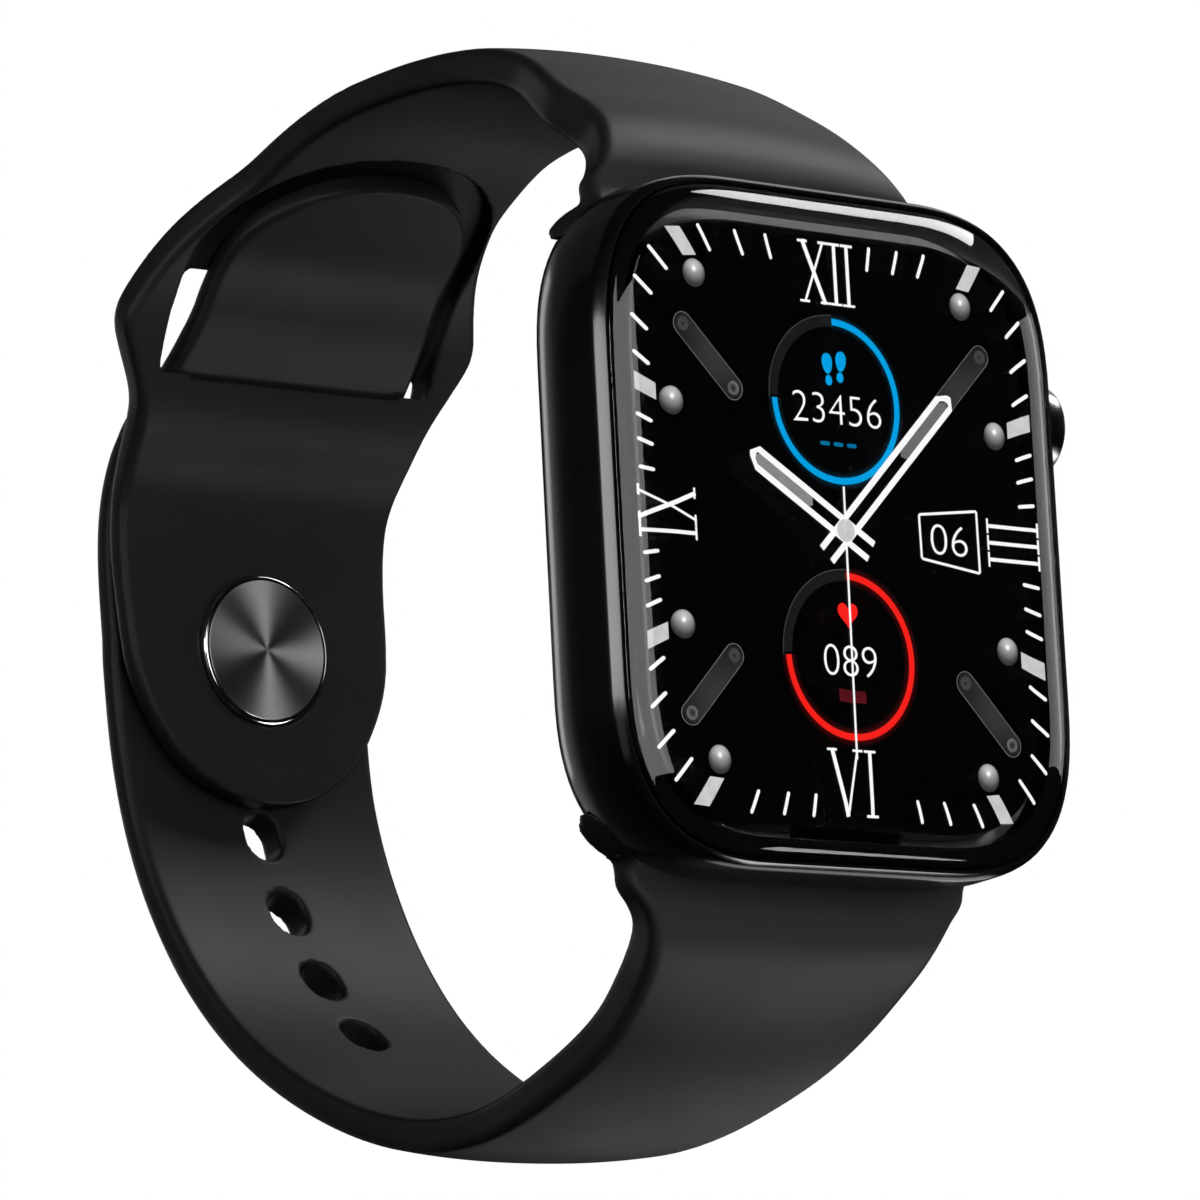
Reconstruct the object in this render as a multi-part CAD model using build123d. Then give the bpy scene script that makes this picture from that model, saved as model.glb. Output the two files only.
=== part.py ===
from build123d import *
import os
import math

os.makedirs("parts", exist_ok=True)

# Smartwatch with a rounded-square case and a fastened silicone band.
# Frame: +X towards three o'clock (the crown), -Y the way the display faces,
# +Z towards twelve o'clock.  All lengths in millimetres.
# The model is drawn from the plane of the glass edge (y = 0) and every
# finished solid is then moved by ORIGIN_SHIFT so that the origin lies in the
# middle of the wrist opening.

ORIGIN_SHIFT = (0.0, -34.5, 0.0)

# ---- case ------------------------------------------------------------------
GLASS_W = 36.2            # outline of the cover glass, three to nine o'clock
GLASS_H = 42.2            # outline of the cover glass, twelve to six o'clock
CORNER_R = 11.5           # reach of the squircle corner
CORNER_N = 2.8            # squircle exponent
CASE_PROFILE = [(0.30, -0.05), (0.52, 0.30), (0.70, 1.10), (0.79, 2.40), (0.80, 3.90),
                (0.66, 5.20), (0.26, 6.50), (-0.50, 7.60), (-1.70, 8.40)]
GLASS_DOME = [(-0.02, 0.0), (-0.06, -0.18), (-0.22, -0.42), (-0.60, -0.70), (-1.30, -0.90),
              (-2.30, -1.03), (-3.60, -1.08)]
GLASS_UNDER_Y = 0.75
LEDGE_Y = 0.95
CAVITY_OFF = -1.7
CAVITY_FRONT_OFF = -1.3
CAVITY_BACK_Y = 7.1
CAVITY_HALF_Z = 17.1      # behind the display the cavity stops short of the lug channels
COVER_HALF_X, COVER_HALF_Z, COVER_R = 15.1, 16.5, 5.0
LIP_HALF_X, LIP_HALF_Z, LIP_R = 14.3, 15.7, 8.0
CASE_BACK_Y = 8.40

# ---- lug channels -----------------------------------------------------------
LUG_Y, LUG_Z = 6.0, 19.4  # centre of each channel, mirrored in Z
LUG_CHANNEL_R = 1.55
LUG_FOOT_R = 1.45          # silicone foot that slides in the channel
LUG_BAR_R = 1.05           # stiff core inside the foot
LUG_END_OFF = 0.60         # the foot's ends follow the case outline, grown by this
NECK_T = 1.9
NECK_SLOT_T = 2.2
NECK_DIR = (0.29, 0.957)

# ---- crown and side button --------------------------------------------------
CROWN_Y, CROWN_Z = 3.75, 8.5
CROWN_R = 3.1
CROWN_X0, CROWN_X1 = 18.75, 20.85
CROWN_TRAVEL = 0.35
STEM_R = 1.0
BUTTON_Y, BUTTON_Z = 4.2, -6.0
BUTTON_LEN, BUTTON_T = 9.0, 2.6
BUTTON_TRAVEL = 0.30

# ---- band -------------------------------------------------------------------
BAR_LEN = 29.0
PIN_Y, PIN_Z = 61.50, 1.90
PIN_HEAD_Y0, PIN_HEAD_Y1 = 65.20, 65.85
PIN_DISC_R = 5.25
PIN_STEM_R = 1.25
HOLE_CENTRES = [(63.92, 1.88, 89.0), (63.6, -4.87, 84.0), (62.28, -11.17, 72.0), (59.75, -17.01, 61.3), (56.19, -22.27, 50.3), (51.78, -26.64, 39.3)]
HOLE_W, HOLE_L = 2.9, 3.7
# stations along the middle of each strap: y, z, width, edge thickness, crown of the outer face
UPPER_STATIONS = [
    (6.6, 21.4, 27.65, 2.29, 0.15), (7.64, 24.1, 24.38, 2.8, 0.34), (9.54, 26.3, 22.37, 2.96, 0.43), (11.87, 28.03, 22.49, 2.86, 0.51),
    (14.24, 29.71, 21.87, 2.71, 0.54), (16.62, 31.37, 20.42, 2.56, 0.56), (19.2, 32.66, 19.72, 2.44, 0.59), (21.99, 33.51, 19.49, 2.36, 0.6),
    (24.87, 34.01, 19.39, 2.29, 0.6), (27.76, 34.26, 19.55, 2.25, 0.6), (30.66, 34.33, 19.71, 2.21, 0.6), (33.57, 34.29, 19.82, 2.2, 0.6),
    (36.48, 34.09, 19.88, 2.2, 0.6), (39.33, 33.59, 20.01, 2.21, 0.6), (42.07, 32.71, 20.47, 2.24, 0.59), (44.75, 31.58, 21.0, 2.28, 0.56),
    (47.42, 30.35, 22.3, 2.32, 0.54), (49.99, 28.99, 24.34, 2.37, 0.51), (52.28, 27.23, 26.44, 2.38, 0.27), (54.13, 24.98, 28.64, 2.34, 0.21),
    (55.51, 22.41, 29.36, 2.29, 0.17), (56.61, 19.72, 26.49, 2.24, 0.12), (57.96, 17.16, 24.24, 2.17, 0.08), (59.69, 14.77, 23.51, 2.08, 0.03),
    (61.11, 12.31, 22.91, 2.0, 0.0), (61.74, 9.56, 22.66, 1.95, 0.0), (61.78, 6.61, 22.45, 1.9, 0.0), (61.56, 3.61, 22.22, 1.86, 0.0),
    (61.43, 1.53, 21.9, 1.84, 0.0), (61.32, -0.67, 21.0, 1.82, 0.0), (61.21, -2.85, 19.17, 1.81, 0.0), (61.06, -4.73, 16.87, 1.79, 0.0),
    (60.9, -6.32, 14.04, 1.77, 0.0), (60.76, -7.52, 10.83, 1.76, 0.0), (60.66, -8.31, 7.56, 1.76, 0.0), (60.6, -8.81, 4.09, 1.75, 0.0),
    (60.58, -9.01, 2.0, 1.75, 0.0),
]
LOWER_STATIONS = [
    (6.6, -21.4, 27.86, 2.28, 0.15), (7.19, -24.23, 23.92, 2.77, 0.34), (9.08, -26.44, 22.02, 2.96, 0.43), (11.33, -28.33, 21.04, 2.9, 0.51),
    (13.7, -29.95, 20.29, 2.79, 0.54), (16.28, -31.24, 19.96, 2.66, 0.56), (19.01, -32.29, 19.67, 2.54, 0.59), (21.78, -33.21, 19.29, 2.45, 0.6),
    (24.58, -33.97, 18.87, 2.38, 0.59), (27.43, -34.5, 18.48, 2.31, 0.58), (30.32, -34.73, 18.37, 2.27, 0.58), (33.24, -34.63, 18.33, 2.23, 0.57),
    (36.12, -34.22, 18.36, 2.2, 0.57), (38.93, -33.5, 18.73, 2.17, 0.56), (41.67, -32.52, 19.16, 2.13, 0.56), (44.32, -31.33, 19.55, 2.1, 0.55),
    (46.9, -29.97, 19.78, 2.1, 0.55), (49.37, -28.44, 19.99, 2.1, 0.54), (51.7, -26.71, 20.2, 2.1, 0.53), (53.87, -24.78, 20.38, 2.1, 0.53),
    (55.86, -22.66, 20.57, 2.1, 0.52), (57.64, -20.37, 20.74, 2.08, 0.52), (59.22, -17.94, 20.88, 2.04, 0.51), (60.59, -15.37, 21.02, 2.0, 0.51),
    (61.74, -12.7, 21.11, 1.97, 0.5), (62.65, -9.93, 21.19, 1.93, 0.46), (63.29, -7.11, 21.29, 1.9, 0.42), (63.66, -4.24, 21.45, 1.86, 0.38),
    (63.84, -1.34, 21.61, 1.83, 0.34), (63.76, 2.35, 21.8, 1.8, 0.3), (63.91, 4.35, 21.73, 1.79, 0.28), (64.05, 6.34, 21.67, 1.77, 0.25),
    (64.09, 8.34, 21.6, 1.76, 0.23), (63.95, 10.34, 21.53, 1.75, 0.2), (63.53, 12.29, 21.47, 1.73, 0.13), (62.77, 14.14, 21.4, 1.72, 0.07),
    (61.72, 15.84, 21.07, 1.7, 0.0), (60.41, 17.34, 20.73, 1.69, 0.0), (58.8, 18.52, 20.4, 1.68, 0.0), (57.21, 19.73, 20.07, 1.68, 0.0),
    (55.74, 21.08, 19.73, 1.67, 0.0), (54.36, 22.53, 19.4, 1.66, 0.0), (53.14, 24.12, 19.27, 1.65, 0.0), (51.94, 25.71, 19.13, 1.64, 0.0),
    (51.17, 26.49, 19.06, 1.64, 0.0), (49.75, 27.6, 18.78, 1.63, 0.0), (48.2, 28.51, 17.97, 1.62, 0.0), (46.59, 29.31, 16.34, 1.62, 0.0),
    (45.22, 29.93, 14.07, 1.61, 0.0), (44.13, 30.43, 11.19, 1.61, 0.0), (43.4, 30.76, 8.1, 1.6, 0.0), (42.94, 30.95, 4.65, 1.6, 0.0),
    (42.76, 31.03, 2.5, 1.6, 0.0),
]
# the room that the tail of the lower strap takes where it passes through the upper one
SLOT_CUTTER = [
    (61.98, 15.46, 23.0, 2.3, 0.0), (60.94, 16.84, 23.0, 2.3, 0.0), (59.72, 17.88, 23.0, 2.3, 0.0), (58.42, 18.78, 23.0, 2.3, 0.0),
    (57.1, 19.82, 23.0, 2.3, 0.0), (55.81, 21.01, 23.0, 2.3, 0.0), (54.63, 22.23, 23.0, 2.3, 0.0), (53.62, 23.42, 23.0, 2.3, 0.0),
    (52.78, 24.65, 23.0, 2.3, 0.0), (51.87, 25.79, 23.0, 2.3, 0.0), (50.92, 26.72, 23.0, 2.3, 0.0), (49.31, 27.88, 22.69, 2.3, 0.0),
    (47.66, 28.79, 21.76, 2.3, 0.0), (46.05, 29.56, 20.27, 2.3, 0.0), (44.58, 30.23, 18.27, 2.3, 0.0), (43.31, 30.79, 15.78, 2.3, 0.0),
    (42.32, 31.21, 13.04, 2.3, 0.0), (41.52, 31.53, 9.81, 2.3, 0.0), (40.98, 31.73, 6.43, 2.3, 0.0), (40.71, 31.82, 3.34, 2.3, 0.0),
    (40.62, 31.85, 3.0, 2.3, 0.0),
]
# the window through the upper strap where the tail goes in
SLOT_WINDOW = [
    (53.1, 26.36, 21.4, 6.0, 0.0), (53.78, 25.48, 21.4, 6.0, 0.0), (54.4, 24.56, 21.4, 6.0, 0.0), (54.95, 23.59, 21.4, 6.0, 0.0),
    (55.43, 22.59, 21.4, 6.0, 0.0), (55.47, 22.5, 21.4, 6.0, 0.0), (55.75, 21.85, 21.18, 6.0, 0.0), (56.01, 21.2, 20.6, 6.0, 0.0),
    (56.23, 20.64, 19.68, 6.0, 0.0), (56.42, 20.18, 18.39, 6.0, 0.0), (56.53, 19.9, 16.94, 6.0, 0.0), (56.57, 19.81, 15.4, 6.0, 0.0),
]


# ---- helpers ----------------------------------------------------------------
def outline_wire(off, y, half_w=None, half_h=None, r=None, n=None):
    """Closed squircle outline in the plane y, grown by off."""
    hw = GLASS_W / 2 + off if half_w is None else half_w
    hh = GLASS_H / 2 + off if half_h is None else half_h
    r = CORNER_R + off if r is None else r
    n = CORNER_N if n is None else n
    quarter = []
    for k in range(9):
        t = math.pi / 2 * k / 8
        cx = max(math.cos(t), 0.0) ** (2 / n) if k < 8 else 0.0
        cz = max(math.sin(t), 0.0) ** (2 / n) if k > 0 else 0.0
        quarter.append((hw - r + r * cx, hh - r + r * cz))
    edges = []
    def spl(pts, t0, t1):
        v = [Vector(a, y, b) for a, b in pts]
        return Edge.make_spline(v, tangents=[Vector(t0[0], 0, t0[1]), Vector(t1[0], 0, t1[1])])
    q1 = quarter
    q2 = [(-a, b) for a, b in quarter][::-1]
    q3 = [(-a, -b) for a, b in quarter]
    q4 = [(a, -b) for a, b in quarter][::-1]
    ln = lambda p, q: Edge.make_line(Vector(p[0], y, p[1]), Vector(q[0], y, q[1]))
    edges.append(spl(q1, (0, 1), (-1, 0)))
    edges.append(ln(q1[-1], q2[0]))
    edges.append(spl(q2, (-1, 0), (0, -1)))
    edges.append(ln(q2[-1], q3[0]))
    edges.append(spl(q3, (0, -1), (1, 0)))
    edges.append(ln(q3[-1], q4[0]))
    edges.append(spl(q4, (1, 0), (0, 1)))
    edges.append(ln(q4[-1], q1[0]))
    return Wire(edges)


def slab(off, y0, y1, **kw):
    return Solid.extrude(Face(outline_wire(off, y0, **kw)), Vector(0, y1 - y0, 0))


def stack(profile):
    return Solid.make_loft([outline_wire(o, y) for o, y in profile], True)


def box(x0, x1, y0, y1, z0, z1):
    return Location(((x0 + x1) / 2, (y0 + y1) / 2, (z0 + z1) / 2)) * Box(x1 - x0, y1 - y0, z1 - z0)


def cyl_x(r, x0, x1, y, z):
    return Solid.make_cylinder(r, x1 - x0, Plane(origin=(x0, y, z), z_dir=(1, 0, 0)))


def cyl_y(r, y0, y1, x, z):
    return Solid.make_cylinder(r, y1 - y0, Plane(origin=(x, y0, z), z_dir=(0, 1, 0)))


def pill_x(length, thick, x0, x1, y, z):
    """Pill-shaped prism along X, long way along Z."""
    f = Plane(origin=(x0, y, z), x_dir=(0, 0, 1), z_dir=(1, 0, 0)) * SlotOverall(length, thick)
    return extrude(f, amount=x1 - x0, dir=(1, 0, 0))


def pill_y(length, thick, y0, y1, x, z):
    """Pill-shaped prism along Y, long way along X."""
    f = Plane(origin=(x, y0, z), x_dir=(1, 0, 0), z_dir=(0, 1, 0)) * SlotOverall(length, thick)
    return extrude(f, amount=y1 - y0, dir=(0, 1, 0))


def rrect_y(hx, hz, r, y0, y1, x=0.0, z=0.0):
    f = Plane(origin=(x, y0, z), x_dir=(1, 0, 0), z_dir=(0, 1, 0)) * RectangleRounded(2 * hx, 2 * hz, r)
    return extrude(f, amount=y1 - y0, dir=(0, 1, 0))


def ribbon(stations, grow=0.0):
    """Strap solid: a crowned, chamfered section carried along the stations."""
    wires = []
    n = len(stations)
    for k, (y, z, w, t, c) in enumerate(stations):
        a = stations[max(k - 1, 0)]
        b = stations[min(k + 1, n - 1)]
        ty, tz = b[0] - a[0], b[1] - a[1]
        m = math.hypot(ty, tz)
        ty, tz = ty / m, tz / m
        ny, nz = -tz, ty
        if z * nz + (y - 34.5) * ny < 0:
            ny, nz = -ny, -nz
        hw, ht = w / 2 + grow, t / 2 + grow
        e = min(0.55, ht * 0.5, hw * 0.3)
        sec = [(-hw + e, -ht), (hw - e, -ht), (hw, -ht + e), (hw, ht - e), (hw - e, ht),
               (hw * 0.5, ht + 0.8 * c), (-hw * 0.5, ht + 0.8 * c),
               (-hw + e, ht), (-hw, ht - e), (-hw, -ht + e)]
        if c < 0.02:
            sec = sec[:5] + [(hw * 0.3, ht), (-hw * 0.3, ht)] + sec[7:]
        pts = [Vector(u, y + ny * v, z + nz * v) for u, v in sec]
        wires.append(Wire.make_polygon(pts, close=True))
    return Solid.make_loft(wires, True)


def put(name, shape):
    s = shape
    if isinstance(s, (list, ShapeList)):
        s = Compound(children=list(s))
    s = s.moved(Location(ORIGIN_SHIFT))
    sol = s.solids()
    out = Compound(children=sol) if len(sol) > 1 else sol[0]
    export_step(out, f"parts/{name}.step")


# ---- case frame -------------------------------------------------------------
case = stack(CASE_PROFILE)
case -= slab(0.08, -0.5, LEDGE_Y)
case -= slab(CAVITY_FRONT_OFF, LEDGE_Y - 0.01, 3.9)
case -= slab(CAVITY_OFF, 3.5, CAVITY_BACK_Y) & box(-30, 30, 3, 8, -CAVITY_HALF_Z, CAVITY_HALF_Z)
case -= rrect_y(COVER_HALF_X + 0.1, COVER_HALF_Z + 0.1, COVER_R, 7.35, 9.0)
POSTS = [(12.6, 14.0), (-12.6, 14.0), (-12.6, -14.0), (12.6, -14.0)]
for px, pz in POSTS:
    case += cyl_y(1.15, 4.6, 7.2, px, pz)
case -= rrect_y(LIP_HALF_X + 0.1, LIP_HALF_Z + 0.1, LIP_R, 7.1, 7.5)
for px, pz in POSTS:
    case -= cyl_y(0.5, 5.6, 9.0, px, pz)
for s in (1, -1):
    case -= cyl_x(LUG_CHANNEL_R, -22, 22, LUG_Y, s * LUG_Z)
    ang = math.degrees(math.atan2(NECK_DIR[0], NECK_DIR[1]))
    neck = Location((0, LUG_Y, s * LUG_Z)) * Rotation(-s * ang, 0, 0) * box(-22, 22, -NECK_SLOT_T / 2, NECK_SLOT_T / 2, min(0, s * 8), max(0, s * 8))
    case -= neck
# crown pocket, bush bore, button pocket and stem hole
case -= cyl_x(CROWN_R + 0.15, 18.2, 22, CROWN_Y, CROWN_Z)
case -= cyl_x(1.72, 16.0, 22, CROWN_Y, CROWN_Z)
case -= pill_x(BUTTON_LEN + 0.2, BUTTON_T + 0.2, 17.4, 22, BUTTON_Y, BUTTON_Z)
case -= cyl_x(0.86, 16.0, 18, BUTTON_Y, BUTTON_Z)
# microphone port
case -= cyl_x(0.4, 16.0, 22, 4.2, 1.9)
put("case_frame", case)

# ---- front: glass, adhesive, display ---------------------------------------
glass = slab(-0.02, 0.0, GLASS_UNDER_Y) + stack(GLASS_DOME)
put("cover_glass", glass)
put("glass_adhesive", slab(-0.12, 0.76, 0.94) - slab(-1.15, 0.5, 1.2))
put("display_panel", slab(-2.4, 0.76, 1.50))
put("display_bracket", slab(-1.9, 1.72, 2.02) - box(-4.6, 4.6, 1.5, 2.5, -22, -15.6) - box(-9, 9, 1.5, 2.5, -11, 11))
flex = box(-4, 4, 1.51, 1.62, -17.6, -14.0) + box(-4, 4, 1.51, 2.48, -17.6, -17.48) + box(-4, 4, 2.37, 2.48, -17.6, -13.8)
put("display_flex", flex)

# ---- main board -------------------------------------------------------------
board = box(-14.5, 11.8, 2.5, 3.3, -16, 16)
board = board - box(8.9, 12, 2.0, 4.0, 13.0, 17) - box(8.9, 12, 2.0, 4.0, -17, -13.0)
BOARD_SCREWS = [(-13.2, 14.6), (-13.2, -14.6), (5.4, 14.6), (5.4, -14.6)]
for px, pz in BOARD_SCREWS:
    board -= cyl_y(0.55, 2.0, 4.0, px, pz)
put("main_board", board)
scr = [cyl_y(1.0, 3.31, 3.85, px, pz) + cyl_y(0.5, 2.05, 3.31, px, pz) - box(px - 0.7, px + 0.7, 3.6, 4.0, pz - 0.12, pz + 0.12) for px, pz in BOARD_SCREWS]
put("board_screws", scr)
chips = [box(-10.2, -4.2, 3.3, 4.0, 4.2, 10.2), box(-2.8, 2.2, 3.3, 3.95, 7.0, 12.0), box(-2.6, 0.4, 3.3, 3.8, 2.0, 5.2),
         box(2.0, 4.2, 3.3, 3.7, 2.2, 5.0), box(-12.9, -10.9, 3.3, 3.7, -2.0, 0.0), box(5.6, 8.2, 3.3, 3.75, -3.4, -1.0)]
put("board_chips", chips)
shield = box(-11.2, 5.2, 3.3, 4.3, 1.2, 13.4) - box(-11.0, 5.0, 3.2, 4.1, 1.4, 13.2)
put("shield_can", shield)

# ---- battery, speaker, microphone ------------------------------------------
put("battery_pad", box(-10.5, 4.5, 4.32, 4.58, 1.6, 12.6))
bat = box(-13.5, 9.5, 4.6, 6.8, -3.4, 12.8)
bat = fillet(bat.edges().filter_by(Axis.Y), 0.9)
put("battery", bat)
spk = box(-15.2, -4.4, 3.45, 6.5, -12.0, -4.6)
spk = fillet(spk.edges().filter_by(Axis.Y), 0.8)
spk -= pill_y(8.4, 5.0, 5.9, 7.0, -9.8, -8.3)
spk -= box(-16, -14.9, 4.0, 5.2, -11.0, -5.6)
put("speaker_box", spk)
put("speaker_diaphragm", pill_y(8.2, 4.8, 5.95, 6.25, -9.8, -8.3) - pill_y(6.6, 3.2, 6.1, 6.5, -9.8, -8.3))
put("microphone", box(14.7, 16.3, 3.3, 5.1, 0.9, 2.9) - cyl_x(0.3, 15.6, 17, 4.2, 1.9))

# ---- vibration motor --------------------------------------------------------
MX, MZ = 8.3, -10.0
can = cyl_y(4.2, 3.4, 6.5, MX, MZ) - cyl_y(3.95, 3.65, 6.25, MX, MZ)
put("vibration_motor_can", can)
put("vibration_motor_shaft", cyl_y(0.4, 3.65, 6.25, MX, MZ))
rotor = cyl_y(3.6, 4.1, 5.9, MX, MZ) - box(MX - 5, MX + 5, 3, 7, MZ + 0.9, MZ + 6)
rotor += cyl_y(1.3, 4.1, 5.9, MX, MZ)
rotor -= cyl_y(0.45, 3, 7, MX, MZ)
put("vibration_motor_rotor", rotor)

# ---- crown ------------------------------------------------------------------
bush = cyl_x(1.72, 16.0, 18.15, CROWN_Y, CROWN_Z) - cyl_x(STEM_R + 0.05, 15, 19, CROWN_Y, CROWN_Z)
bush -= cyl_x(1.55, 16.7, 17.5, CROWN_Y, CROWN_Z)
put("crown_bush", bush)
put("crown_gasket", cyl_x(1.54, 16.72, 17.48, CROWN_Y, CROWN_Z) - cyl_x(STEM_R + 0.04, 16, 18, CROWN_Y, CROWN_Z))
cap = cyl_x(CROWN_R, CROWN_X0, CROWN_X1, CROWN_Y, CROWN_Z)
cap = chamfer(cap.edges().group_by(Axis.X)[-1], 0.35)
cap -= cyl_x(STEM_R, CROWN_X0 - 1, CROWN_X0 + 0.9, CROWN_Y, CROWN_Z)
put("crown_cap", cap)
stem = cyl_x(STEM_R, 14.55, CROWN_X0 + 0.9, CROWN_Y, CROWN_Z) + cyl_x(1.5, 14.85, 15.1, CROWN_Y, CROWN_Z)
put("crown_stem", stem)
put("crown_thrust_washer", cyl_x(1.75, 15.15, 15.45, CROWN_Y, CROWN_Z) - cyl_x(STEM_R + 0.06, 15, 16, CROWN_Y, CROWN_Z))
put("crown_switch", box(12.2, 14.0, 3.45, 4.95, 7.2, 9.8) + cyl_x(0.6, 14.0, 14.12, CROWN_Y, CROWN_Z))

# ---- side button ------------------------------------------------------------
btn = pill_x(BUTTON_LEN, BUTTON_T, 17.9, 18.98, BUTTON_Y, BUTTON_Z)
btn = fillet(btn.edges().group_by(Axis.X)[-1], 0.3)
btn += cyl_x(0.8, 14.6, 18.0, BUTTON_Y, BUTTON_Z)
put("side_button", btn)
put("side_button_gasket", cyl_x(1.5, 15.95, 16.36, BUTTON_Y, BUTTON_Z) - cyl_x(0.85, 15, 17, BUTTON_Y, BUTTON_Z))
put("side_button_switch", box(12.3, 14.1, 3.45, 4.95, BUTTON_Z - 1.5, BUTTON_Z + 1.5) + cyl_x(0.6, 14.1, 14.22, BUTTON_Y, BUTTON_Z))

# ---- back -------------------------------------------------------------------
cover = rrect_y(COVER_HALF_X, COVER_HALF_Z, COVER_R, 7.62, CASE_BACK_Y) + rrect_y(LIP_HALF_X, LIP_HALF_Z, LIP_R, 7.15, 7.62)
cover -= cyl_y(11.2, 6.5, 9, 0, 0)
cover -= cyl_y(12.6, 7.9, 9, 0, 0)
for px, pz in POSTS:
    cover -= cyl_y(0.55, 6.5, 9, px, pz)
    cover -= cyl_y(1.05, 7.98, 9, px, pz)
RELEASE_Z = 14.55
for s in (1, -1):
    cover -= pill_y(6.6, 1.7, 6.5, 9, 0, s * RELEASE_Z)
put("back_cover", cover)
put("back_gasket", rrect_y(15.05, 16.45, 4.9, 7.37, 7.60) - rrect_y(14.5, 15.9, 4.4, 7.0, 8.0))
bs = [cyl_y(1.0, 7.99, 8.34, px, pz) + cyl_y(0.48, 5.8, 7.99, px, pz) - box(px - 0.65, px + 0.65, 8.16, 8.6, pz - 0.12, pz + 0.12) - box(px - 0.12, px + 0.12, 8.16, 8.6, pz - 0.65, pz + 0.65) for px, pz in POSTS]
put("back_screws", bs)
crystal = cyl_y(12.5, 7.92, 8.55, 0, 0)
dome_r = (12.5 ** 2 + 1.25 ** 2) / (2 * 1.25)
ball = Location((0, 9.80 - dome_r, 0)) * Sphere(dome_r)
crystal += (ball & cyl_y(12.5, 8.5, 9.70, 0, 0))
put("sensor_crystal", crystal)
sb = cyl_y(10.8, 7.0, 7.3, 0, 0)
put("sensor_board", sb)
LEDS = [(-2.6, 0), (2.6, 0), (0, 2.6), (0, -2.6)]
put("sensor_leds", [box(a - 0.7, a + 0.7, 7.3, 7.7, b - 0.7, b + 0.7) for a, b in LEDS])
PDS = [(6.6 * math.cos(math.radians(45 + 90 * k)), 6.6 * math.sin(math.radians(45 + 90 * k))) for k in range(4)]
put("sensor_photodiodes", [box(a - 1.3, a + 1.3, 7.3, 7.65, b - 1.3, b + 1.3) for a, b in PDS])
put("sensor_baffle", cyl_y(4.5, 7.3, 7.88, 0, 0) - cyl_y(3.9, 7, 8, 0, 0))
for s, nm in ((1, "upper"), (-1, "lower")):
    rb = pill_y(6.5, 1.6, 7.08, 8.42, 0, s * RELEASE_Z) + pill_y(7.6, 2.3, 6.78, 7.10, 0, s * RELEASE_Z)
    put(f"{nm}_release_button", rb)

# ---- band -------------------------------------------------------------------
for s, nm in ((1, "upper"), (-1, "lower")):
    bar = cyl_x(LUG_BAR_R, -BAR_LEN / 2, BAR_LEN / 2, LUG_Y, s * LUG_Z)
    put(f"{nm}_lug_bar", bar)

def root(s):
    """Foot in the channel and the thin neck that leaves it, with ends that follow the case outline."""
    ang = math.degrees(math.atan2(NECK_DIR[0], NECK_DIR[1]))
    lo, hi = 0.4, 2.3
    neck = Location((0, LUG_Y, s * LUG_Z)) * Rotation(-s * ang, 0, 0) * box(-17.4, 17.4, -NECK_T / 2, NECK_T / 2, min(s * lo, s * hi), max(s * lo, s * hi))
    foot = cyl_x(LUG_FOOT_R, -17.6, 17.6, LUG_Y, s * LUG_Z) + neck
    return foot & slab(LUG_END_OFF, 3.5, 9.0)

def clean_root(st):
    # the strap leaves the channel at neck thickness
    y, z, w, t, c = st[0]
    return [(y, z, w - 0.4, NECK_T, 0.0)] + st[1:]

upper = ribbon(clean_root(UPPER_STATIONS)) + root(1)
upper -= cyl_x(LUG_BAR_R, -BAR_LEN / 2, BAR_LEN / 2, LUG_Y, LUG_Z)
upper -= ribbon(SLOT_CUTTER)
upper -= ribbon(SLOT_WINDOW)
upper -= cyl_y(PIN_STEM_R, 50, 70, 0, PIN_Z)
upper -= cyl_y(PIN_DISC_R + 0.05, 50, PIN_Y - 1.0 + 0.45, 0, PIN_Z)
put("upper_strap", upper)

lower = ribbon(clean_root(LOWER_STATIONS)) + root(-1)
lower -= cyl_x(LUG_BAR_R, -BAR_LEN / 2, BAR_LEN / 2, LUG_Y, -LUG_Z)
for hy, hz, ha in HOLE_CENTRES:
    # along is the strap's run at the hole, through is its normal
    ca, sa = math.cos(math.radians(ha)), math.sin(math.radians(ha))
    pl = Plane(origin=(0, hy, hz), x_dir=(0, ca, sa), z_dir=(0, -sa, ca))
    cutter = pl * SlotOverall(HOLE_L, HOLE_W)
    lower -= extrude(cutter, amount=4, both=True)
put("lower_strap", lower)

disc = cyl_y(PIN_DISC_R, PIN_Y - 1.0 - 0.45, PIN_Y - 1.0 + 0.45, 0, PIN_Z)
disc = fillet(disc.edges().group_by(Axis.Y)[0], 0.25)
pin = disc + cyl_y(PIN_STEM_R, PIN_Y - 1.0, PIN_HEAD_Y0 + 0.05, 0, PIN_Z)
head = cyl_y(1.9, PIN_HEAD_Y0, PIN_HEAD_Y1, 0, PIN_Z)
head = chamfer(head.edges().group_by(Axis.Y)[-1], 0.3)
pin += head
put("closure_pin", pin)
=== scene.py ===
import math
import bpy
import bmesh
import numpy as np
from mathutils import Matrix, Vector


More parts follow.
